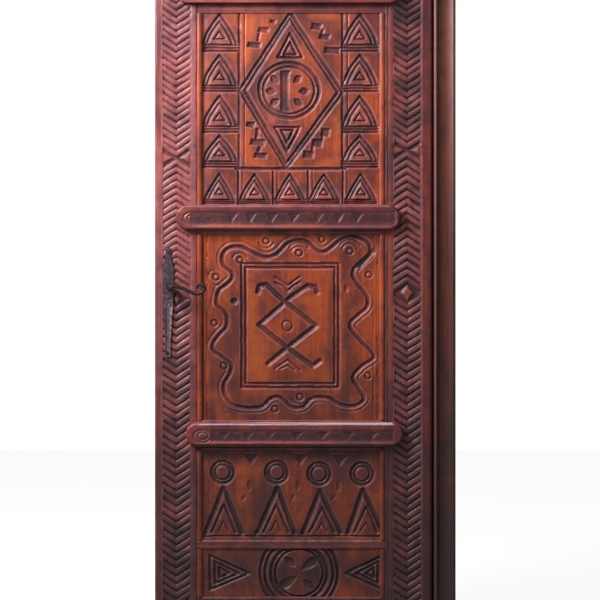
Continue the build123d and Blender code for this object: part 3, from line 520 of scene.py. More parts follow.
def wood(name, base, light, dark, along="Z", foot_shade=0.85, post_highlights=False):
    """Varnished wood: grain, blotches of old stain, dark cuts, unvarnished and worn places with
    painted light, sheen and highlights, and painted shade towards the foot.
    """
    material, n, shader, place = new_material(name)
    axes = n.axes(place)
    stain_and_shade, wear_and_highlight, bare_and_lit = n.mark("stain_and_shade"), n.mark("wear_and_highlight"), n.mark("bare_and_lit")
    grain_place = n.stretched(place, (1.0, 1.0, 0.06) if along == "Z" else (0.06, 1.0, 1.0))
    grain = n.noise(grain_place, 130.0, 6.0, 0.62)
    fibre = n.noise(grain_place, 700.0, 3.0, 0.6)
    streak = n.noise(grain_place, 30.0, 3.0, 0.6)
    broad = n.noise(n.stretched(place, (1.0, 1.0, 0.6)), 7.5, 4.0, 0.6)
    patch = n.noise(place, 24.0, 5.0, 0.62)
    colour = n.mix(n.ramp(grain, 0.36, 0.66), base, light)
    colour = n.mix(n.ramp(streak, 0.46, 0.66, 0.0, 0.55), colour, dark)
    colour = n.mix(n.ramp(broad, 0.44, 0.62, 0.0, 0.75), colour, dark)
    colour = n.mix(n.ramp(patch, 0.48, 0.68, 0.0, 0.6), colour, dark)
    # Orange of unvarnished wood, also painted light on raised parts and the battens' lower edges.
    colour = n.mix(n.times(bare_and_lit, 0.85), colour, srgb(206, 98, 40))
    colour = n.mix(n.ramp(fibre, 0.55, 0.8, 0.0, 0.3), colour, dark)
    # Dark old stain in and round the cuts, with painted shade brushed in by height and in places.
    darkening = n.times(stain_and_shade, n.ramp(patch, 0.3, 0.7, 0.7, 1.15), clamp=True)
    colour = n.mix(darkening, colour, srgb(60, 28, 33))
    # Worn edges turn a lighter pink; the same mark carries painted sheen brushed on in patches.
    worn = n.times(wear_and_highlight, n.ramp(patch, 0.3, 0.7, 0.8, 0.3), clamp=True)
    colour = n.mix(worn, colour, srgb(196, 130, 132))
    # Painted highlight: past 1.05 the mark turns near white, thin lit lines on battens and low
    # rail.
    colour = n.mix(n.ramp(wear_and_highlight, 1.05, 1.8, 0.0, 0.85), colour, srgb(240, 214, 212))
    # Painted shade: the door darkens towards its foot.
    low = n.ramp(axes["Z"], 0.1, 1.45, foot_shade, 0.0)
    lower_shade = n.times(low, n.ramp(n.noise(place, 10.0, 5.0, 0.65), 0.25, 0.7, 0.5, 1.0))
    colour = n.mix(lower_shade, colour, srgb(40, 22, 24))
    # Painted light on the frame post: a lighter top and highlights on its edge and bead.
    if post_highlights:
        colour = post_top_and_highlights(n, colour, axes, patch)
    varnish = n.math("ADD", n.ramp(patch, 0.3, 0.7, 0.34, 0.53), n.times(stain_and_shade, 0.1))
    height = n.math("ADD", n.times(fibre, 0.5), grain)
    height = n.math("ADD", height, n.times(n.noise(place, 230.0, 4.0), 0.9))
    inputs = {
        "Base Color": colour,
        "Roughness": n.math("ADD", varnish, n.times(lower_shade, 0.22)),
        "Coat Weight": 0.16,
        "Coat Roughness": 0.25,
        "Normal": n.bump(height, 0.4, 0.0012),
    }
    n.put(shader, inputs)
    return material


print("wood finish ready to be made")

# %% Seven woods
RED = {"base": srgb(158, 68, 58), "light": srgb(184, 94, 82), "dark": srgb(94, 38, 44)}
# A darker copy of the red for the right stile: painted shade on the side away from the lamp.
SHADED_RED = {"base": srgb(132, 48, 36), "light": srgb(158, 68, 50), "dark": srgb(66, 28, 30)}
ORANGE = {"base": srgb(186, 74, 32), "light": srgb(206, 96, 44), "dark": srgb(100, 38, 32)}
UMBER = {"base": srgb(84, 34, 22), "light": srgb(112, 50, 28), "dark": srgb(40, 18, 17)}
stile_wood = wood("stile_wood", **RED)
shaded_stile_wood = wood("shaded_stile_wood", **SHADED_RED)
rail_wood = wood("rail_wood", **RED, along="X")
panel_wood = wood("panel_wood", **ORANGE)
batten_wood = wood("batten_wood", **RED, along="X", foot_shade=0.5)
frame_wood = wood("frame_wood", **UMBER, post_highlights=True)
frame_wood_across = wood("frame_wood_across", **UMBER, along="X")
print("woods", stile_wood.name, panel_wood.name, batten_wood.name, frame_wood.name)


def dress(piece, material, body, slot, *replaced):
    """Give a finished piece its material, the body it moves with and the solids it stands for."""
    piece.data.materials.clear()
    piece.data.materials.append(material)
    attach(piece, body)
    if replaced:
        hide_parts(*replaced)


# %% [markdown]
# ## Chevron bars
#
# Each stile has a sunk band filled with nested V shaped bars, about eighty of them. They repeat by
# rule, so a Geometry Nodes tree makes them: a line of points up the band, one bent bar on each,
# and a little noise after the copies are made real, so that no two bars are quite alike. The
# same tree makes bars that point down and bars that point up.


# %% Chevron tree
def chevron_tree():
    """Bars up the band between Low and High, in metres, each bent upwards by its Rise."""
    tree = bpy.data.node_groups.new("chevron_bars", "GeometryNodeTree")
    sizes = {
        "Middle": 0.0, "Face": 0.0, "Low": 0.0, "High": 1.0, "Pitch": 0.024, "Half Width": 0.042,
        "Rise": 0.7, "Bar Width": 0.017, "Bar Height": 0.0065, "Roughness": 0.0009,
    }
    for name, value in sizes.items():
        socket = tree.interface.new_socket(name, in_out="INPUT", socket_type="NodeSocketFloat")
        socket.default_value = value
    for name in ("Seed", "Material"):
        kind = "NodeSocketInt" if name == "Seed" else "NodeSocketMaterial"
        tree.interface.new_socket(name, in_out="INPUT", socket_type=kind)
    tree.interface.new_socket("Geometry", in_out="OUTPUT", socket_type="NodeSocketGeometry")
    n = Nodes(tree)
    given = n.add("NodeGroupInput").outputs
    half, width = given["Half Width"], given["Bar Width"]

    def vector(x, y, z):
        return n.add("ShaderNodeCombineXYZ", {0: x, 1: y, 2: z}).outputs[0]

    def step(kind, inputs, **settings):
        return n.add(kind, inputs, **settings).outputs[0]

    span = n.math("SUBTRACT", given["High"], given["Low"])
    steps = n.math("ROUND", n.math("DIVIDE", span, given["Pitch"]))
    row = {
        "Count": n.math("ADD", steps, 1.0),
        "Start Location": vector(given["Middle"], given["Face"], given["Low"]),
        "Offset": vector(0.0, 0.0, n.math("DIVIDE", span, steps)),
    }
    line = step("GeometryNodeMeshLine", row, mode="OFFSET")

    ends = {
        "Count": 13,
        "Start Location": vector(n.times(half, -1.0), 0.0, 0.0),
        "Offset": vector(half, 0.0, 0.0),
    }
    arm = step("GeometryNodeMeshLine", ends, mode="END_POINTS")
    across = n.axes(n.add("GeometryNodeInputPosition").outputs[0])["X"]
    lift = vector(0.0, 0.0, n.times(n.math("ABSOLUTE", across), given["Rise"]))
    bent = step("GeometryNodeSetPosition", {"Geometry": arm, "Offset": lift})
    path = step("GeometryNodeMeshToCurve", {"Mesh": bent})
    radius = n.times(width, 0.5)
    profile = step("GeometryNodeCurvePrimitiveCircle", {"Resolution": 12, "Radius": radius})
    sweep = {"Curve": path, "Profile Curve": profile, "Fill Caps": True}
    squash = vector(1.0, n.math("DIVIDE", given["Bar Height"], radius), 1.0)
    bar = {"Geometry": step("GeometryNodeCurveToMesh", sweep), "Scale": squash}

    lean = {"Min": -0.035, "Max": 0.035, "Seed": given["Seed"]}
    tilt = n.add("FunctionNodeRandomValue", lean, data_type="FLOAT").outputs[1]
    copies = {
        "Points": line,
        "Instance": step("GeometryNodeTransform", bar),
        "Rotation": vector(0.0, tilt, 0.0),
    }
    real = step("GeometryNodeRealizeInstances", {0: step("GeometryNodeInstanceOnPoints", copies)})

    grain = {"Scale": 42.0, "W": given["Seed"]}
    uneven = n.add("ShaderNodeTexNoise", grain, noise_dimensions="4D").outputs["Color"]
    middle = {0: uneven, 1: (0.5, 0.5, 0.5)}
    shake = {
        0: step("ShaderNodeVectorMath", middle, operation="SUBTRACT"),
        "Scale": n.times(given["Roughness"], 4.0),
    }
    moved = {"Geometry": real, "Offset": step("ShaderNodeVectorMath", shake, operation="SCALE")}
    smooth = step("GeometryNodeSetShadeSmooth", {0: step("GeometryNodeSetPosition", moved)})
    dressed = step("GeometryNodeSetMaterial", {0: smooth, "Material": given["Material"]})
    n.add("NodeGroupOutput", {"Geometry": dressed})
    return tree


bars_tree = chevron_tree()


def chevron_run(name, values):
    """Run the tree with the named inputs and return its bars as a plain mesh."""
    piece = mesh_object(name, [], [])
    modifier = piece.modifiers.new(name, "NODES")
    modifier.node_group = bars_tree
    for item in bars_tree.interface.items_tree:
        if item.item_type == "SOCKET" and item.in_out == "INPUT" and item.name in values:
            modifier[item.identifier] = values[item.name]
    return plain(piece, name)


print("chevron tree nodes", len(bars_tree.nodes))


# %% [markdown]
# ## The two stiles
#
# A stile is the upright of the leaf. Its band is a tray nearly six millimetres deep with plain
# margins. The tray comes from the relief, and the bars stand in it. Where the bars turn round they
# leave two raised triangles at a crossing, and a raised diamond lower down, in a dark ground.
# Wear and a painted highlight brighten the left stile's margin and bead. The right stile is a
# darker copy of the same wood as painted shade, and painted shade darkens the foot of both.


# %% Sweep helpers
def turned(mesh_piece):
    """Recalculate outward faces on a shape made by sweeping."""
    work = bmesh.new()
    work.from_mesh(mesh_piece.data)
    bmesh.ops.recalc_face_normals(work, faces=work.faces)
    work.to_mesh(mesh_piece.data)
    work.free()


def joined(pieces, name):
    """Several pieces as one mesh."""
    work = bmesh.new()
    for piece in pieces:
        work.from_mesh(piece.data)
    mesh = bpy.data.meshes.new(name)
    work.to_mesh(mesh)
    work.free()
    for piece in pieces:
        bpy.data.objects.remove(piece)
    return placed(name, mesh)


print("sweep helpers ready")

# %% Band and bars
BAND_HALF, BAND_LOW, BAND_HIGH = 40.5, 112, 1980
BAR_RISE = 0.66
BAR_SIZES = {"Face": 0.0061, "Half Width": 0.0435, "Bar Width": 0.0195, "Bar Height": 0.0054}


def band_tray(relief, middle, crossing, diamond, boss):
    """Sink the band, leaving the two side triangles at the crossing and the boss below."""
    left, right = middle - BAND_HALF, middle + BAND_HALF
    field = [(left, BAND_LOW), (right, BAND_LOW), (right, BAND_HIGH), (left, BAND_HIGH)]
    relief.pit(field, depth=5.8, wall=3.5)
    relief.brush("stain_and_shade", [(middle, diamond + 26), (middle, diamond - 26)], 80.0, 1.2)
    relief.brush("stain_and_shade", [(left, crossing), (right, crossing)], 60.0, 0.6)
    for side in (-1, 1):
        edge = middle + side * (BAND_HALF + 3)
        tip = middle + side * BAND_HALF * 0.2
        triangle = [(edge, crossing + 22), (tip, crossing), (edge, crossing - 22)]
        relief.dome(triangle, depth=5.0, wall=10.0)
        # Unvarnished wood and painted light on the raised side triangles.
        relief.brush("bare_and_lit", [(edge, crossing), (middle + side * 22, crossing)], 26.0, 0.6)
    side = 0.82 * boss
    corners = ((0, boss), (side, 0), (0, -boss), (-side, 0))
    relief.dome([(middle + x, diamond + z) for x, z in corners], depth=4.6, wall=12.0)
    # Unvarnished wood and painted light on the raised diamond.
    relief.brush("bare_and_lit", [(middle, diamond - 8), (middle, diamond + 8)], 44.0, 0.9)


def stain_and_height_shade(height, shade, seed, crossing, diamond):
    """How dark the bars are: a height table of painted shade, dark at the foot, broken into
    blotches, and old stain at the two turning places.
    """
    blotch = 0.5 + 0.5 * np.sin(height * 2 * math.pi / 104 + seed)
    old = np.interp(height, *shade) * (0.4 + 0.6 * blotch)
    for centre, spread, amount in ((diamond, 52, 0.9), (crossing, 30, 0.6)):
        old = np.maximum(old, amount * np.exp(-(((height - centre) / spread) ** 2)))
    return old


def chevron_bars(name, middle, crossing, diamond, boss, pitches, seed, material, shade):
    """Three runs of bars: above the crossing, down to the diamond, and below it."""
    reach, clear = BAND_HALF * BAR_RISE, boss + 15
    runs = (
        (crossing + 12, BAND_HIGH - reach, BAR_RISE),
        (diamond + clear, crossing - 12, -BAR_RISE),
        (BAND_LOW + 6, diamond - clear, BAR_RISE),
    )
    pieces = []
    for number, (pitch, (start, stop, slope)) in enumerate(zip(pitches, runs)):
        places = {"Middle": middle * MM, "Low": start * MM, "High": stop * MM}
        shape = {"Pitch": pitch * MM, "Rise": slope, "Seed": seed * 10 + number}
        bars = chevron_run(name + "_bars", BAR_SIZES | places | shape | {"Material": material})
        turned(bars)
        _, depth, height = points_of(bars)
        old = stain_and_height_shade(height, shade, seed, crossing, diamond)
        stain_and_shade = np.maximum(0.15 + 0.7 * smooth_step(depth, 2.0, 5.4), old)
        wear_and_highlight = (1 - smooth_step(depth, 1.0, 2.2)) * (0.85 - 0.8 * old)
        mark(bars, {"stain_and_shade": stain_and_shade, "wear_and_highlight": wear_and_highlight})
        pieces.append(bars)
    return pieces


print("bars rise", round(BAND_HALF * BAR_RISE, 1), "mm")


# %% Stiles
def stile(
    node, edges, middle, crossing, diamond, boss, pitches, beads, seed, material, shade, brushes,
    lines=(),
):
    low, high = box_mm(node)
    left, right = edges
    relief = Relief(left - 4, right + 4, low[2] - 4, high[2] + 4, 0.0, 2.6, seed, wobble=0.7)
    band_tray(relief, middle, crossing, diamond, boss)
    for across, half, depth in beads:
        relief.bead(across, half, depth)
    for paint, across, low_end, high_end, width, amount in brushes:
        relief.brush(paint, [(across, low_end), (across, high_end)], width, amount)
    # Painted shade by height, from the same table as the bars, added to the stain.
    relief.paint["stain_and_shade"] += np.interp(relief.Z, *shade) * 0.35
    for across, width, depth in lines:
        relief.groove([(across, low[2]), (across, high[2])], width, depth)
    relief.round_edge(left, right, low[2], high[2], radius=3.0, wear=0.5, seed=seed)
    filler = (middle - BAND_HALF - 1, middle + BAND_HALF + 1, -1, 9, BAND_LOW - 2, BAND_HIGH + 2)
    name = node + "_carved"
    board = carve_front(node, name, relief, filler)
    bars = chevron_bars(name, middle, crossing, diamond, boss, pitches, seed, material, shade)
    result = joined([board, *bars], name)
    dress(result, material, "leaf", "carved_wood", node)
    print(name, "triangles", triangle_count(result))


stile(
    "lock_stile",
    edges=(-417, -291),
    middle=-352.5,
    crossing=1478,
    diamond=1055,
    boss=17,
    pitches=(21.5, 21.5, 23.5),
    beads=[(-300.5, 11.0, 2.6)],
    seed=11,
    material=stile_wood,
    shade=((0, 700, 1250, 1500, 2046), (1.0, 0.85, 0.35, 0.32, 0.5)),
    brushes=[
        # Wear on the outer margin by the lock, darker stain low on the bead, and a painted
        # highlight on the bead's upper run.
        ("wear_and_highlight", -408, 800, 1500, 34, 0.45),
        ("stain_and_shade", -296, 0, 640, 44, 0.6),
        ("wear_and_highlight", -300, 1300, 1950, 28, 0.6),
    ],
)
stile(
    "hinge_stile",
    edges=(273, 417),
    middle=340.5,
    crossing=1502,
    diamond=1073,
    boss=26,
    pitches=(22.5, 23.5, 23.5),
    beads=[(291, 8.5, 3.0)],
    seed=12,
    material=shaded_stile_wood,
    shade=((0, 700, 1000, 1300, 1500, 2046), (0.95, 0.75, 0.5, 0.35, 0.7, 1.15)),
    brushes=[("bare_and_lit", 287, 820, 1330, 36, 0.55), ("bare_and_lit", 287, 1500, 1950, 30, 0.25)],
    lines=[(281, 5, 2.5)],
)

# %% [markdown]
# ## Patterns that come back
#
# Nested triangles, rings and dots turn up on every panel, so each is one helper. A ring is a
# closed groove. A cell is a roof of gouge strokes over a small triangle, and level bars part it
# from the next one. Cuts and patches of paint are given as rows, in steps of the drawing.


# %% Pattern helpers
def circle(centre, radius, count=48, squash=1.0):
    x, z = centre
    turns = [2 * math.pi * k / count for k in range(count)]
    return [(x + radius * math.cos(t), z + squash * radius * math.sin(t)) for t in turns]


def ring(relief, centre, radius, width, depth=6.5, squash=1.0):
    relief.groove(circle(centre, radius, squash=squash), width, depth, closed=True)


def ring_dot(relief, centre, radius=9.0):
    ring(relief, centre, radius, 7.5, 4.6)


def arch(centre, half, apex, foot, bulge=0.12):
    """A pointed roof with slightly bowed sides, in drawing steps."""
    points = []
    for k in range(-8, 9):
        t = k / 8
        bow = bulge * half * math.sin(math.pi * abs(t)) * (1 if t > 0 else -1)
        points.append(spot(centre + half * t + bow, apex + (foot - apex) * abs(t)))
    return points


def triangle(centre, half, apex, foot):
    return spots((centre - half, foot), (centre, apex), (centre + half, foot))


def oblong(left, top, right, bottom):
    return spots((left, top), (right, top), (right, bottom), (left, bottom))


def cut_lines(relief, *rows):
    """Gouge cuts: width, depth, and the places each one goes through."""
    for width, depth, *places in rows:
        relief.groove(spots(*places), width, depth)


def paint_patches(relief, paint, *rows):
    """Brush strokes of one paint: width, amount, and the places each one goes through."""
    for width, amount, *places in rows:
        relief.brush(paint, spots(*places), width, amount)


def nested_cell(relief, centre, half, apex, foot, bulge=0.12):
    """Two roof strokes with a low ridge between, and a raised triangle with a sunk outline."""
    rise = foot - apex
    relief.groove(arch(centre, half * 0.84, apex + rise * 0.12, foot, bulge), 14.0, 3.2)
    relief.groove(arch(centre, half * 0.95, apex + rise * 0.03, foot, bulge), 10.5, 6.6)
    relief.groove(arch(centre, half * 0.71, apex + rise * 0.25, foot, bulge), 10.5, 6.2)
    outline = triangle(centre, half * 0.31, apex + rise * 0.58, foot - 4.5)
    relief.groove(outline, 6.5, 5.0, closed=True)


def bars_between(relief, left, right, top, bottom):
    """A sunk strip with two thin level ridges left in it."""
    relief.pit(oblong(left, top, right, bottom), 3.0, 3.0)
    pitch = (bottom - top) / 3
    for k in range(3):
        down = top + pitch * (k + 0.5)
        relief.groove(spots((left, down), (right, down)), pitch * STEP * 1.05, 6.4)


def leaf_pit(relief, centre, length, width, turn, depth=6.0):
    """A pointed leaf shape, sunk."""
    x, z = spot(*centre)
    lean_x, lean_z = math.cos(math.radians(turn)), math.sin(math.radians(turn))
    points = []
    for k in range(20):
        t = 2 * math.pi * k / 20
        u = length / 2 * STEP * math.cos(t)
        v = width / 2 * STEP * math.sin(t) * (1 - 0.55 * abs(math.cos(t)) ** 2)
        points.append((x + u * lean_x - v * lean_z, z + u * lean_z + v * lean_x))
    relief.pit(points, depth, 4.0)


print("pattern helpers ready")

# %% [markdown]
# ## The upper panel
#
# A big double diamond stands round a ringed rosette, with columns of triangle cells at its sides
# and a row of five cells below. Small stepped cuts fill the four corners. Old varnish has gone from
# the flat wood between the cuts in places, so some patches are a bare orange.

# %% Upper panel
PANEL_LEFT, PANEL_RIGHT = -291, 273
PANEL_FACE, PANEL_GRID = 5.0, 2.05


def panel_relief(node, seed, soak=1.0):
    low, high = box_mm(node)
    edges = (low[0] - 3, high[0] + 3, low[2] - 3, high[2] + 3)
    return Relief(*edges, PANEL_FACE, PANEL_GRID, seed, soak=soak)


def finish_panel(node, relief, low, high):
    """Fill the solid's plain carving up, carve the relief into it, and dress the panel."""
    filler = (PANEL_LEFT, PANEL_RIGHT, PANEL_FACE - 1, PANEL_FACE + 9, low, high)
    piece = carve_front(node, node + "_carved", relief, filler, halo=1.0)
    dress(piece, panel_wood, "leaf", "panel_wood", node)


upper = panel_relief("upper_panel", 21, soak=0.84)
for centre in (219.5, 360.0):
    for apex, base, end in ((13.5, 43, 52), (54, 84, 92), (95, 125, 133), (135, 160, 168)):
        nested_cell(upper, centre, 17.5, apex, base)
        bars_between(upper, centre - 18, centre + 18, base, end)
for centre in (219, 254.5, 290, 324, 361):
    nested_cell(upper, centre, 15.0, 173.5, 199, bulge=0.05)
    bars_between(upper, centre - 16, centre + 16, 198.5, 204)
for across in (238.0, 273.0, 308.0, 343.0):
    upper.groove(spots((across, 170), (across, 204)), 8.5, 5.5)
    upper.groove(spots((across + 4.5, 171), (across + 4.5, 204)), 5.0, 2.5)
for across in (239.0, 342.5):
    upper.groove(spots((across, 12), (across, 168)), 9.5, 5.5)
    upper.groove(spots((across + 5.6, 12), (across + 5.6, 168)), 5.0, 2.5)
upper.groove(spots((236, 168.5), (346, 168.5)), 12.0)


def outline_pair(relief, points, gap, width, depth=6.5):
    """Two grooves side by side along a closed outline, with a ridge between them."""
    centre_x = sum(p[0] for p in points) / len(points)
    centre_z = sum(p[1] for p in points) / len(points)
    for sign in (-1, 1):
        moved = []
        for x, z in points:
            length = math.hypot(x - centre_x, z - centre_z)
            scale = 1 + sign * gap / length
            moved.append((centre_x + (x - centre_x) * scale, centre_z + (z - centre_z) * scale))
        relief.groove(moved, width, depth, closed=True)


print("cells and bars cut")

# %% Diamond, rosette and corner steps
outline_pair(upper, spots((290, 15), (242, 90), (286.5, 166), (340.5, 92)), 7.4, 13.0)
rosette = spot(289, 90)
ring(upper, rosette, 90, 14.0, squash=0.92)
ring(upper, rosette, 77, 11.0, 5.5, squash=0.92)
for centre, half, apex, foot in (
    (290, 12.5, 33, 57), (290, 6.0, 42, 54), (287, 12.5, 151, 127), (287, 6.0, 142, 130)
):
    upper.groove(triangle(centre, half, apex, foot), 10.0, closed=True)
tall_leaf = spots((280, 69.5), (292, 69.5), (289.5, 78), (289.5, 105), (292, 112), (280, 112))
upper.pit(tall_leaf, 4.6, 8.0)
for across, down, turn in (
    (274.5, 79, -42), (297.5, 79, 42), (304, 91, 8),
    (271, 91, -6), (274.5, 102, 38), (298, 102, -42),
):
    leaf_pit(upper, (across, down), 12, 8.0, turn, 5.5)
for across in (381.0, 386.5):
    upper.bead(spot(across, 0)[0], 8.0, 3.4)
STAIRS = (
    ((269, 19, 277, 24), (257, 26, 270, 33), (246, 41, 262, 48), (256, 32, 261, 42)),
    ((310, 22, 323, 30), (318, 33, 331, 40), (323, 46, 342, 54), (320, 28, 325, 34)),
    ((245, 121, 256, 128), (249, 138, 266, 146), (253, 152, 268, 159), (254, 127, 260, 140),
     (256, 145, 262, 153)),
    ((320, 127, 331, 137), (311, 138, 324, 148), (302, 150, 315, 159), (320, 134, 325, 141),
     (310, 146, 315, 153)),
)
for steps in STAIRS:
    for left, top, right, bottom in steps:
        tread = ((left + 1.5, top), (right, top + 0.5), (right - 1.5, bottom), (left, bottom - 1))
        upper.pit(spots(*tread), 6.0, 6.5)
print("deepest cut", round(float(upper.cut.max()), 1), "mm")

# %% Upper panel's varnish, wear and painted sheen
paint_patches(
    upper,
    "stain_and_shade",
    (130, 0.7, (220, 12), (220, 170)),
    (130, 0.7, (360, 12), (360, 170)),
    (110, 0.5, (205, 188), (372, 188)),
    (60, 0.5, (290, 40), (290, 56)),
    (90, 0.45, (205, 14), (375, 14)),
    (60, 0.5, (287, 128), (287, 146)),
)
# Wear, and painted sheen over the left column of cells and along the bottom row.
paint_patches(
    upper,
    "wear_and_highlight",
    (80, 0.25, (212, 20), (212, 195)),
    (24, 0.5, (206, 20), (206, 195)),
    (90, 0.25, (262, 70), (275, 120)),
    (18, 0.5, (237, 60), (240, 165)),
    (60, 0.2, (215, 192), (350, 192)),
)
paint_patches(
    upper,
    "bare_and_lit",
    (40, 0.9, (383, 100), (383, 200)),
    (46, 0.9, (250, 22), (247, 60)),
    (46, 0.9, (248, 110), (247, 160), (262, 165)),
    (46, 0.9, (336, 120), (336, 160), (318, 166)),
    (46, 0.9, (312, 14), (336, 16)),
    (46, 0.9, (262, 92), (272, 118)),
    (46, 0.9, (366, 60), (369, 120)),
)
finish_panel("upper_panel", upper, 1337, 1913)

# %% [markdown]
# ## The vine panel
#
# A closed waving vine runs round a square frame, with ring dots in its bays. Inside the square two
# strokes cross twice and end in hooks: an interlaced knot with a dot in its middle. The vine's
# bends were cut by eye, so they come as places on the drawing, with a smooth line through them.


# %% Vine panel
def through(points, closed=False, cuts=5):
    """A smooth line through the points (Catmull-Rom)."""
    count = len(points)
    path = []
    for i in range(count if closed else count - 1):
        around = [i + k if closed else min(max(i + k, 0), count - 1) for k in (-1, 0, 1, 2)]
        a, b, d, e = (np.array(points[k % count]) for k in around)
        for c in range(cuts):
            t = c / cuts
            square, cube = 2 * a - 5 * b + 4 * d - e, 3 * b - a - 3 * d + e
            path.append(tuple(0.5 * (2 * b + (d - a) * t + square * t * t + cube * t**3)))
    return path if closed else path + [points[-1]]


def beside(points, distance):
    """A closed line moved sideways by the distance, to its left hand."""
    moved = []
    for k, (x, z) in enumerate(points):
        ahead, behind = points[(k + 1) % len(points)], points[k - 1]
        run, rise = ahead[0] - behind[0], ahead[1] - behind[1]
        length = math.hypot(run, rise)
        moved.append((x - rise / length * distance, z + run / length * distance))
    return moved


vine = panel_relief("vine_panel", 31, soak=0.85)
vine_path = spots(
    (222, 258), (225, 251), (232, 247), (242, 247), (252, 252), (260, 256), (268, 257),
    (275, 255), (281, 250), (288, 243), (299, 240), (308, 242), (316, 249), (323, 252),
    (331, 248), (340, 240), (350, 236), (361, 238), (369, 244), (370, 253), (362, 261),
    (354, 269), (353, 276), (358, 285), (367, 296), (367, 307), (358, 315), (350, 323),
    (352, 331), (361, 341), (371, 351), (374, 358), (365, 364), (355, 373), (353, 380),
    (359, 389), (364, 399), (355, 406), (341, 405), (328, 398), (313, 398), (303, 407),
    (292, 407), (285, 401), (278, 397), (270, 399), (263, 406), (252, 408), (239, 407),
    (230, 403), (224, 393), (224, 384), (230, 374), (231, 364), (222, 357), (213, 350),
    (213, 343), (218, 336), (226, 327), (227, 318), (224, 312), (217, 305), (217, 296),
    (220, 289), (227, 284), (232, 278), (231, 272), (224, 266),
)
vine_line = through(vine_path, closed=True)
vine.groove(vine_line, 14.5, 6.5, closed=True)
vine.groove(beside(vine_line, 15.0), 6.5, 2.4, closed=True)
vine.pit(spots((374, 245), (376, 253), (361, 269), (355, 268), (365, 256)), 7.0, 8.0)
for across, down in (
    (266, 241), (322, 239), (299, 253), (240, 260), (350, 251), (216, 277),
    (214, 323), (369, 275), (275, 409), (300, 397), (368, 376), (224, 366),
):
    ring_dot(vine, spot(across, down))
for centre, radius, start, stop in (
    ((240, 260), 7.5, 20, 165),
    ((350, 251), 8.0, 15, 165),
    ((350, 251), 11.5, 25, 155),
    ((299, 254), 8.0, 20, 160),
    ((299, 254), 11.5, 35, 145),
    ((266, 240), 8.0, 200, 340),
    ((216, 277), 8.0, 130, 300),
    ((300, 396), 8.0, 200, 340),
):
    x, z = spot(*centre)
    turns = [math.radians(start + (stop - start) * k / 12) for k in range(13)]
    reach = radius * STEP
    vine.groove([(x + reach * math.cos(t), z + reach * math.sin(t)) for t in turns], 6.5, 3.2)
print("vine", len(vine_line), "places")

# %% Square, knot and wear of the vine panel
for gap in (-1.9, 1.9):
    square = oblong(243.5 - gap, 265.5 - gap, 336.5 + gap, 385.5 + gap)
    vine.groove(square, 11.0, 6.0, closed=True)
cut_lines(
    vine,
    (20.0, 7.0, (258, 292), (259.5, 286), (266, 284.5), (283, 300), (316, 325.5), (291, 345),
     (268, 363.5)),
    (20.0, 7.0, (317, 292), (315, 287), (308, 285.5), (291, 297), (259, 325), (284, 345),
     (313, 366), (320, 361)),
)
ring_dot(vine, spot(287, 326), 15.0)
for lift in (0, 5.5):
    dip = (288, 285.5 + lift)
    cut_lines(
        vine,
        (8.0, 5.0, (275, 277 + lift), (280 + lift / 2, 280 + lift), dip),
        (8.0, 5.0, dip, (295 - lift / 3, 280 + lift), (300, 276.5 + lift)),
        (7.0, 4.4, (275 + lift, 369), (288, 360 + lift), (300 - lift, 370)),
    )
vine.pit(circle(spot(234, 301), 12, 16), 7.0, 7.0)
vine.pit(circle(spot(346, 289), 8, 14, 1.6), 3.5, 7.0)
for across, half in ((199, 7.5), (204.5, 8.0), (375.5, 7.5), (381, 8.0), (386.5, 8.0)):
    vine.bead(spot(across, 0)[0], half, 3.4)
cut_lines(vine, (7.0, 4.0, (196, 233), (389, 233)))
paint_patches(
    vine,
    "bare_and_lit",
    (70, 1.0, (250, 290), (252, 340), (262, 378)),
    (46, 0.9, (262, 240), (280, 236)),
    (50, 0.7, (300, 300), (318, 300)),
    (40, 0.6, (225, 270), (228, 330)),
    (44, 0.9, (378, 250), (378, 330)),
    (44, 0.6, (300, 372), (326, 378)),
    (50, 0.5, (212, 395), (220, 415)),
)
paint_patches(
    vine,
    "stain_and_shade",
    (90, 0.8, (372, 380), (340, 416), (250, 418)),
    (60, 0.6, (350, 300), (345, 345), (352, 380)),
    (60, 0.7, (368, 235), (372, 262)),
    (40, 0.5, (290, 300), (312, 322)),
    (60, 0.5, (200, 400), (230, 418)),
    (44, 0.6, (232, 296), (236, 306)),
    (50, 0.45, (327, 345), (331, 384)),
    (100, 0.9, (205, 408), (385, 404)),
)
paint_patches(vine, "wear_and_highlight", (26, 0.7, (203, 299), (205, 305)))
finish_panel("vine_panel", vine, 692, 1250)

# %% [markdown]
# ## The figure panel
#
# Four plain figures stand in a row: a double ring for a head and a tall triangle for a body, with
# smaller triangles inside. Notches hang from the top between them, over a few short leaf cuts.

# %% Figure panel
figures = panel_relief("figure_panel", 41)
for head, neck, feet in (
    ((222.5, 472.5), 488, (205, 242)),
    ((276.5, 472.5), 488, (257, 295)),
    ((319, 474), 491, (303, 341)),
    ((362, 474), 490, (348, 384)),
):
    ring(figures, spot(*head), 33, 13.0)
    ring(figures, spot(*head), 23, 11.0, 5.5)
    (left, right), foot = feet, 533.5
    middle = (left + right) / 2
    cut_lines(
        figures,
        (19.0, 6.8, (left, foot), (head[0] + 1, neck), (right, foot)),
        (10.0, 5.5, (left + 6.5, foot - 1), (middle + 0.3, neck + 17), (right - 6.5, foot - 1)),
        (7.0, 4.0, (middle - 5, foot - 2), (middle, neck + 33), (middle + 5, foot - 2)),
    )
for across, down in ((251, 454), (300.5, 454), (340, 455)):
    figures.pit(spots((across - 8, down), (across + 8, down), (across, down + 12)), 5.5, 5.0)
for across in (249, 298, 339):
    leaf_pit(figures, (across, 486), 12, 5.5, 90, 3.2)
    leaf_pit(figures, (across - 5, 498), 8, 4.0, 60, 2.4)
cut_lines(
    figures,
    (7.0, 5.0, (197, 536.5), (388, 536.5)),
    (5.0, 2.0, (201, 536), (201, 452), (384, 452)),
)
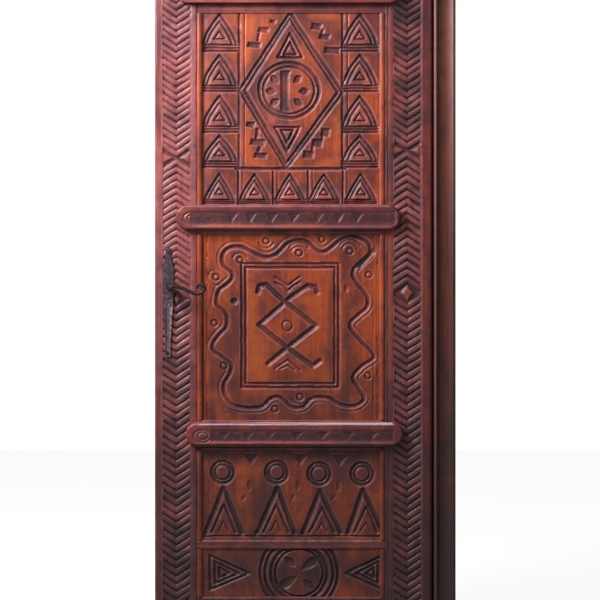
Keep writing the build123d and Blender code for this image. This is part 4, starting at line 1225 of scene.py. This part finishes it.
paint_patches(
    figures,
    "stain_and_shade",
    # Painted shade: a dark band under the middle rail and the lower batten.
    (80, 1.1, (205, 455), (384, 455)),
    (80, 0.7, (340, 470), (372, 530)),
    (50, 0.5, (205, 470), (205, 525)),
    (50, 0.5, (318, 490), (322, 520)),
)
paint_patches(
    figures,
    "bare_and_lit",
    (44, 0.7, (246, 490), (250, 525)),
    (44, 0.7, (296, 490), (300, 525)),
    (44, 0.7, (234, 470), (262, 470)),
)
finish_panel("figure_panel", figures, 332, 602)

# %% [markdown]
# ## The bottom panel
#
# A wheel fills the middle, between two nested triangles that point at it. Each of its two rings
# is a pair of grooves, and four leaf shapes are sunk in its middle. The rails cut its top and
# bottom off.

# %% Bottom panel
wheel = panel_relief("bottom_panel", 51)
wheel_centre = spot(299, 573)
for radius, width in ((117, 13), (103, 11), (84, 13), (72, 10)):
    ring(wheel, wheel_centre, radius, width)
for across, down, length, width, turn in (
    (287, 583, 24, 10, 35), (311, 563, 24, 10, 35), (290, 562, 16, 8, -40), (309, 585, 16, 8, -40)
):
    leaf_pit(wheel, (across, down), length, width, turn, 5.0)
for tip, base, sign in ((249, 210, 1), (346, 383, -1)):
    for inset in (0, 6.5, 12.5):
        near, far = tip - sign * inset * 1.6, base + sign * inset * 0.75
        spread = 17 - inset * 0.95
        points = spots((far, 573 - spread), (near, 573.5), (far, 573 + spread))
        wheel.groove(points, 11.0, 6.2, closed=True)
# Painted shade over the whole bottom panel, as on the rest of the lower door.
paint_patches(wheel, "stain_and_shade", (190, 1.0, (200, 573), (384, 573)))
finish_panel("bottom_panel", wheel, 161, 305)

# %% [markdown]
# ## Rails
#
# The rails are plain boards between the panels. Their edges carry a bead and a quirk, which catch
# the light as thin bright lines, and painted highlight lines run along their top and bottom edges.


# %% Rails
def rail(node, lines, seed, edge_highlight=0.6):
    low, high = box_mm(node)
    relief = Relief(low[0] - 4, high[0] + 4, low[2] - 4, high[2] + 4, 0.0, 3.0, seed, wobble=0.5)
    for down, width, depth in lines:
        z = SHEET_TOP - STEP * down
        relief.groove([(PANEL_LEFT, z), (PANEL_RIGHT, z)], width, depth)
    relief.round_edge(low[0] - 90, high[0] + 90, low[2], high[2], radius=4.0, wear=0.3, seed=seed)
    # Painted highlight lines, with some wear, along the top and bottom edges.
    for z, amount in ((high[2] - 3, edge_highlight), (low[2] + 3, edge_highlight * 0.5)):
        relief.brush("wear_and_highlight", [(PANEL_LEFT + 4, z), (PANEL_RIGHT - 4, z)], 11.0, amount)
    board = carve_front(node, node + "_worked", relief)
    dress(board, rail_wood, "leaf", "carved_wood", node)


rail("top_rail", [(11.3, 5, 3.0), (7.5, 4, 1.5)], 61)
rail("upper_rail", [(206, 4, 2.0)], 62)
rail("middle_rail", [(447.5, 5, 3.0)], 63)
rail("low_rail", [(544.5, 4, 1.2)], 64, edge_highlight=1.5)
rail("bottom_rail", [(599.5, 5, 3.0)], 65)

# %% [markdown]
# ## Battens
#
# Two bars are planted across the leaf, rounded at their ends, with a sunk field. Slanting dark
# triangles are cut into the field. Rings mark both ends of the upper bar and the left end of the
# lower one. A painted highlight runs along their upper edges, and painted orange reflected light
# along their lower edges.


# %% Battens
BATTEN_FACE = -22.0
SLANT = 4.5


def batten(node, field, strokes, rings, seed, edge_highlight):
    low, high = box_mm(node)
    edges = (low[0] - 3, high[0] + 3, low[2] - 3, high[2] + 3)
    relief = Relief(*edges, BATTEN_FACE, 1.9, seed, wobble=0.6)
    left, top, right, bottom = field
    relief.pit(oblong(*field), 2.8, 6.0)
    for across in strokes:
        above, below = top + 1.5, bottom - 1
        wedge = ((across - 11, above), (across + SLANT, above), (across - SLANT, below))
        relief.pit(spots(*wedge), 5.0, 8.0)
    for across, down, radius in rings:
        ring(relief, spot(across, down), radius, 9.0, 2.6, squash=0.66)
    # Painted highlight along the top edge, strong enough to turn near white.
    relief.brush("wear_and_highlight", [(low[0] + 40, high[2] - 3), (high[0] - 30, high[2] - 3)], 15.0, edge_highlight)
    # Painted reflected light: an orange strip along the lower edge.
    relief.brush("bare_and_lit", [(low[0] + 70, low[2] + 9), (low[0] + 430, low[2] + 9)], 20.0, 0.7)
    relief.round_edge(low[0] - 9, high[0] + 9, low[2], high[2], radius=7.0, wear=0.15, seed=seed)
    level = (top + bottom) / 2
    stroke = ((bottom - top + 4) * STEP, 1.1, (left + 4, level), (right - 4, level))
    paint_patches(relief, "stain_and_shade", stroke)
    filler = (low[0] + 34, high[0] - 34, -23, -15, low[2] + 8, high[2] - 8)
    piece = carve_front(node, node + "_carved", relief, filler, halo=0.4)
    dress(piece, batten_wood, "leaf", "carved_wood", node)


batten(
    "upper_batten",
    field=(190, 211, 396, 226.5),
    strokes=(236, 254.5, 276, 297.5, 321.5, 342.5, 361),
    rings=((193, 218.5, 15), (193, 218.5, 27), (384, 218, 13), (384, 218, 24)),
    seed=71,
    edge_highlight=1.25,
)
batten(
    "lower_batten",
    field=(211, 429, 394, 442),
    strokes=(228, 252, 273, 301, 327, 352, 376),
    rings=((203, 435.5, 16), (203, 435.5, 27)),
    seed=72,
    edge_highlight=3.2,
)

# %% [markdown]
# ## Iron and steel
#
# The handle is black wrought iron, with a painted highlight streak down its front plate's lower
# ridge. Wrought iron is dented by the hammer, so its bump is a coarse noise under a fine one. The
# hidden lock parts are plain steel.
# The solids that keep their own shape get their finish here too.


# %% Metals
def metal(name, base, worn, rough, hammer, wear, pale=False):
    """Metal with worn patches; pale adds a painted highlight down the front plate's ridge."""
    material, n, shader, place = new_material(name)
    coarse = n.noise(place, 160.0, 3.0, 0.6)
    fine = n.noise(place, 900.0, 3.0, 0.6)
    patch = n.noise(place, 60.0, 4.0, 0.6)
    colour = n.mix(n.ramp(patch, 0.5, 0.75, 0.0, wear), base, worn)
    if pale:
        axes = n.axes(place)
        # Painted highlight: the lower right of the plate, where its ridge faces the light.
        streak = n.times(n.ramp(axes["Z"], 1.046, 1.03), n.ramp(axes["X"], -0.381, -0.374))
        painted_streak = n.times(streak, n.ramp(coarse, 0.3, 0.6))
        colour = n.mix(painted_streak, colour, srgb(196, 172, 170))
    inputs = {
        "Base Color": colour,
        "Roughness": n.ramp(coarse, 0.3, 0.7, rough - 0.1, rough + 0.12),
        "Metallic": 0.75,
        "Normal": n.bump(n.math("ADD", coarse, n.times(fine, 0.25)), hammer, 0.0015),
    }
    n.put(shader, inputs)
    return material


iron = metal("wrought_iron", srgb(66, 50, 54), srgb(140, 112, 116), 0.4, 0.9, 0.6)
worn_iron_with_highlight = metal("worn_iron_with_highlight", srgb(98, 78, 86), srgb(168, 146, 150), 0.36, 0.9, 0.8, pale=True)
steel = metal("bright_steel", srgb(150, 148, 145), srgb(182, 180, 176), 0.34, 0.15, 0.4)
for material, *names in (
    (worn_iron_with_highlight, "front_plate"),
    (iron, "back_plate", "back_lever", "plate_nails"),
    (steel, "strike_plate", "upper_socket", "lower_socket", "upper_pivot", "lower_pivot"),
    (steel, "spindle", "follower", "lever_spring", "lock_case", "lock_cover", "lock_forend"),
    (steel, "latch_bolt"),
    (frame_wood, "hinge_post", "strike_jamb"),
    (frame_wood_across, "frame_head", "frame_sill"),
    (rail_wood, "batten_pegs", "top_batten"),
    (panel_wood, "panel_beads"),
):
    for name in names:
        nodes[name].data.materials.clear()
        nodes[name].data.materials.append(material)
print("metals", iron.name, steel.name)

# %% [markdown]
# ## The lever's curl
#
# The lever was drawn out at the forge, bent down a little and rolled up into a flat curl. A smooth
# line through a few places gives its path, and a round section that thins towards the end is swept
# along it. The hub stays the solid's own, so the square hole for the spindle is kept.


# %% Lever
def forged_bar(name, path, radii, depth, count=14):
    """A closed bar with a round section that follows a path in a plane of the door."""
    line = through(path, cuts=6)
    verts, faces = [], []
    for k, (x, z) in enumerate(line):
        before, after = line[max(k - 1, 0)], line[min(k + 1, len(line) - 1)]
        run, rise = after[0] - before[0], after[1] - before[1]
        length = math.hypot(run, rise)
        radius = np.interp(k / (len(line) - 1), np.linspace(0, 1, len(radii)), radii)
        for c in range(count):
            turn = 2 * math.pi * c / count
            side, out = radius * math.cos(turn), radius * math.sin(turn)
            verts.append((x - rise / length * side, depth + out, z + run / length * side))
    for k in range(len(line) - 1):
        for c in range(count):
            d = (c + 1) % count
            faces.append((k * count + c, k * count + d, (k + 1) * count + d, (k + 1) * count + c))
    for first, place in ((0, line[0]), (len(verts) - count, line[-1])):
        verts.append((place[0], depth, place[1]))
        faces += [(first + c, first + (c + 1) % count, len(verts) - 1) for c in range(count)]
    bar = mesh_object(name, np.array(verts) * MM, faces)
    turned(bar)
    return bar


GRIP_DEPTH = -43.3
HUB_SIDES, HUB_ENDS = (-386, -361), (1077, 1105)
curl_path = spots(
    (170, 286.6), (176, 286.4), (184, 288.6), (191, 291.8), (197.4, 293.8), (202.6, 292.6),
    (205.2, 288.8), (204, 285.4), (200.6, 284.2), (198, 286.2), (198.6, 289),
)
lever_low, lever_high = box_mm("front_lever")
hub = welded_copy("front_lever", "front_lever_forged")
keep = box_object(*HUB_SIDES, lever_low[1] - 1, lever_high[1] + 1, *HUB_ENDS)
hub = combine(hub, keep, "INTERSECT")
bar = forged_bar("bar", curl_path, (5.6, 5.4, 5.2, 5.4, 5.6, 5.4, 5.2, 4.6), GRIP_DEPTH)
lever = combine(hub, bar, "UNION")
soften(lever, 40)
lever.name = "front_lever_forged"
dress(lever, iron, "handle", "black_iron", "front_lever")
print("lever triangles", triangle_count(lever))

# %% [markdown]
# ## Floor, light and camera
#
# The door is shown from straight in front against white. The background and the floor are white
# only for what the camera and reflections see, so they add no light. A soft lamp stands up on the
# left, so the top left is brightest and every cut has a lit right wall and a dark left one. A
# weak second lamp in front keeps the dark walls readable.


# %% Stage
WHITE = (1.0, 1.0, 1.0, 1.0)


def seen_rays(n):
    """1 for what the camera sees direct or through glass, and a fifth of that in reflections."""
    rays = n.add("ShaderNodeLightPath").outputs
    direct = n.math("MAXIMUM", rays["Is Camera Ray"], rays["Is Transmission Ray"])
    return n.math("MAXIMUM", direct, n.times(rays["Is Glossy Ray"], 0.2))


def backdrop():
    material, n, shader, place = new_material("pale_floor")
    inputs = {
        "Base Color": n.mix(n.noise(place, 3.0), srgb(136, 135, 133), srgb(146, 145, 143)),
        "Roughness": 0.9,
        "Emission Color": WHITE,
        "Emission Strength": n.times(seen_rays(n), 0.9),
    }
    n.put(shader, inputs)
    floor = box_object(-6000, 6000, -6000, 6000, -30, 0)
    floor.name = "floor"
    floor.data.materials.append(material)


backdrop()
world = bpy.data.worlds.new("soft_room")
bpy.context.scene.world = world
world.use_nodes = True
w = Nodes(world.node_tree)
strength = w.math("ADD", w.times(seen_rays(w), 0.88), 0.12)
w.put(world.node_tree.nodes["Background"], {"Color": WHITE, "Strength": strength})


def lamp(name, place, aim, size, power, colour):
    data = bpy.data.lights.new(name, "AREA")
    data.shape = "RECTANGLE"
    data.size, data.size_y = size
    data.energy = power
    data.color = colour
    piece = placed(name, data)
    piece.location = place
    piece.rotation_euler = (Vector(aim) - Vector(place)).to_track_quat("-Z", "Y").to_euler()


lamp("key", (-1.75, -1.2, 2.75), (-0.1, 0.0, 1.35), (0.6, 1.0), 92, (0.96, 0.92, 1.0))
lamp("fill", (-0.9, -2.7, 3.2), (0.0, 0.0, 1.2), (1.6, 1.6), 22, (0.9, 0.9, 1.0))

camera_data = bpy.data.cameras.new("camera")
camera_data.lens = 90
camera_data.sensor_width = 36
camera = placed("camera", camera_data)
camera.location = (0.018, -4.5, 1.052)
camera.rotation_euler = (math.radians(90), 0, 0)
bpy.context.scene.camera = camera
bpy.context.scene.view_settings.view_transform = "Standard"
print("camera", camera_data.lens, "mm,", -camera.location.y, "m in front")
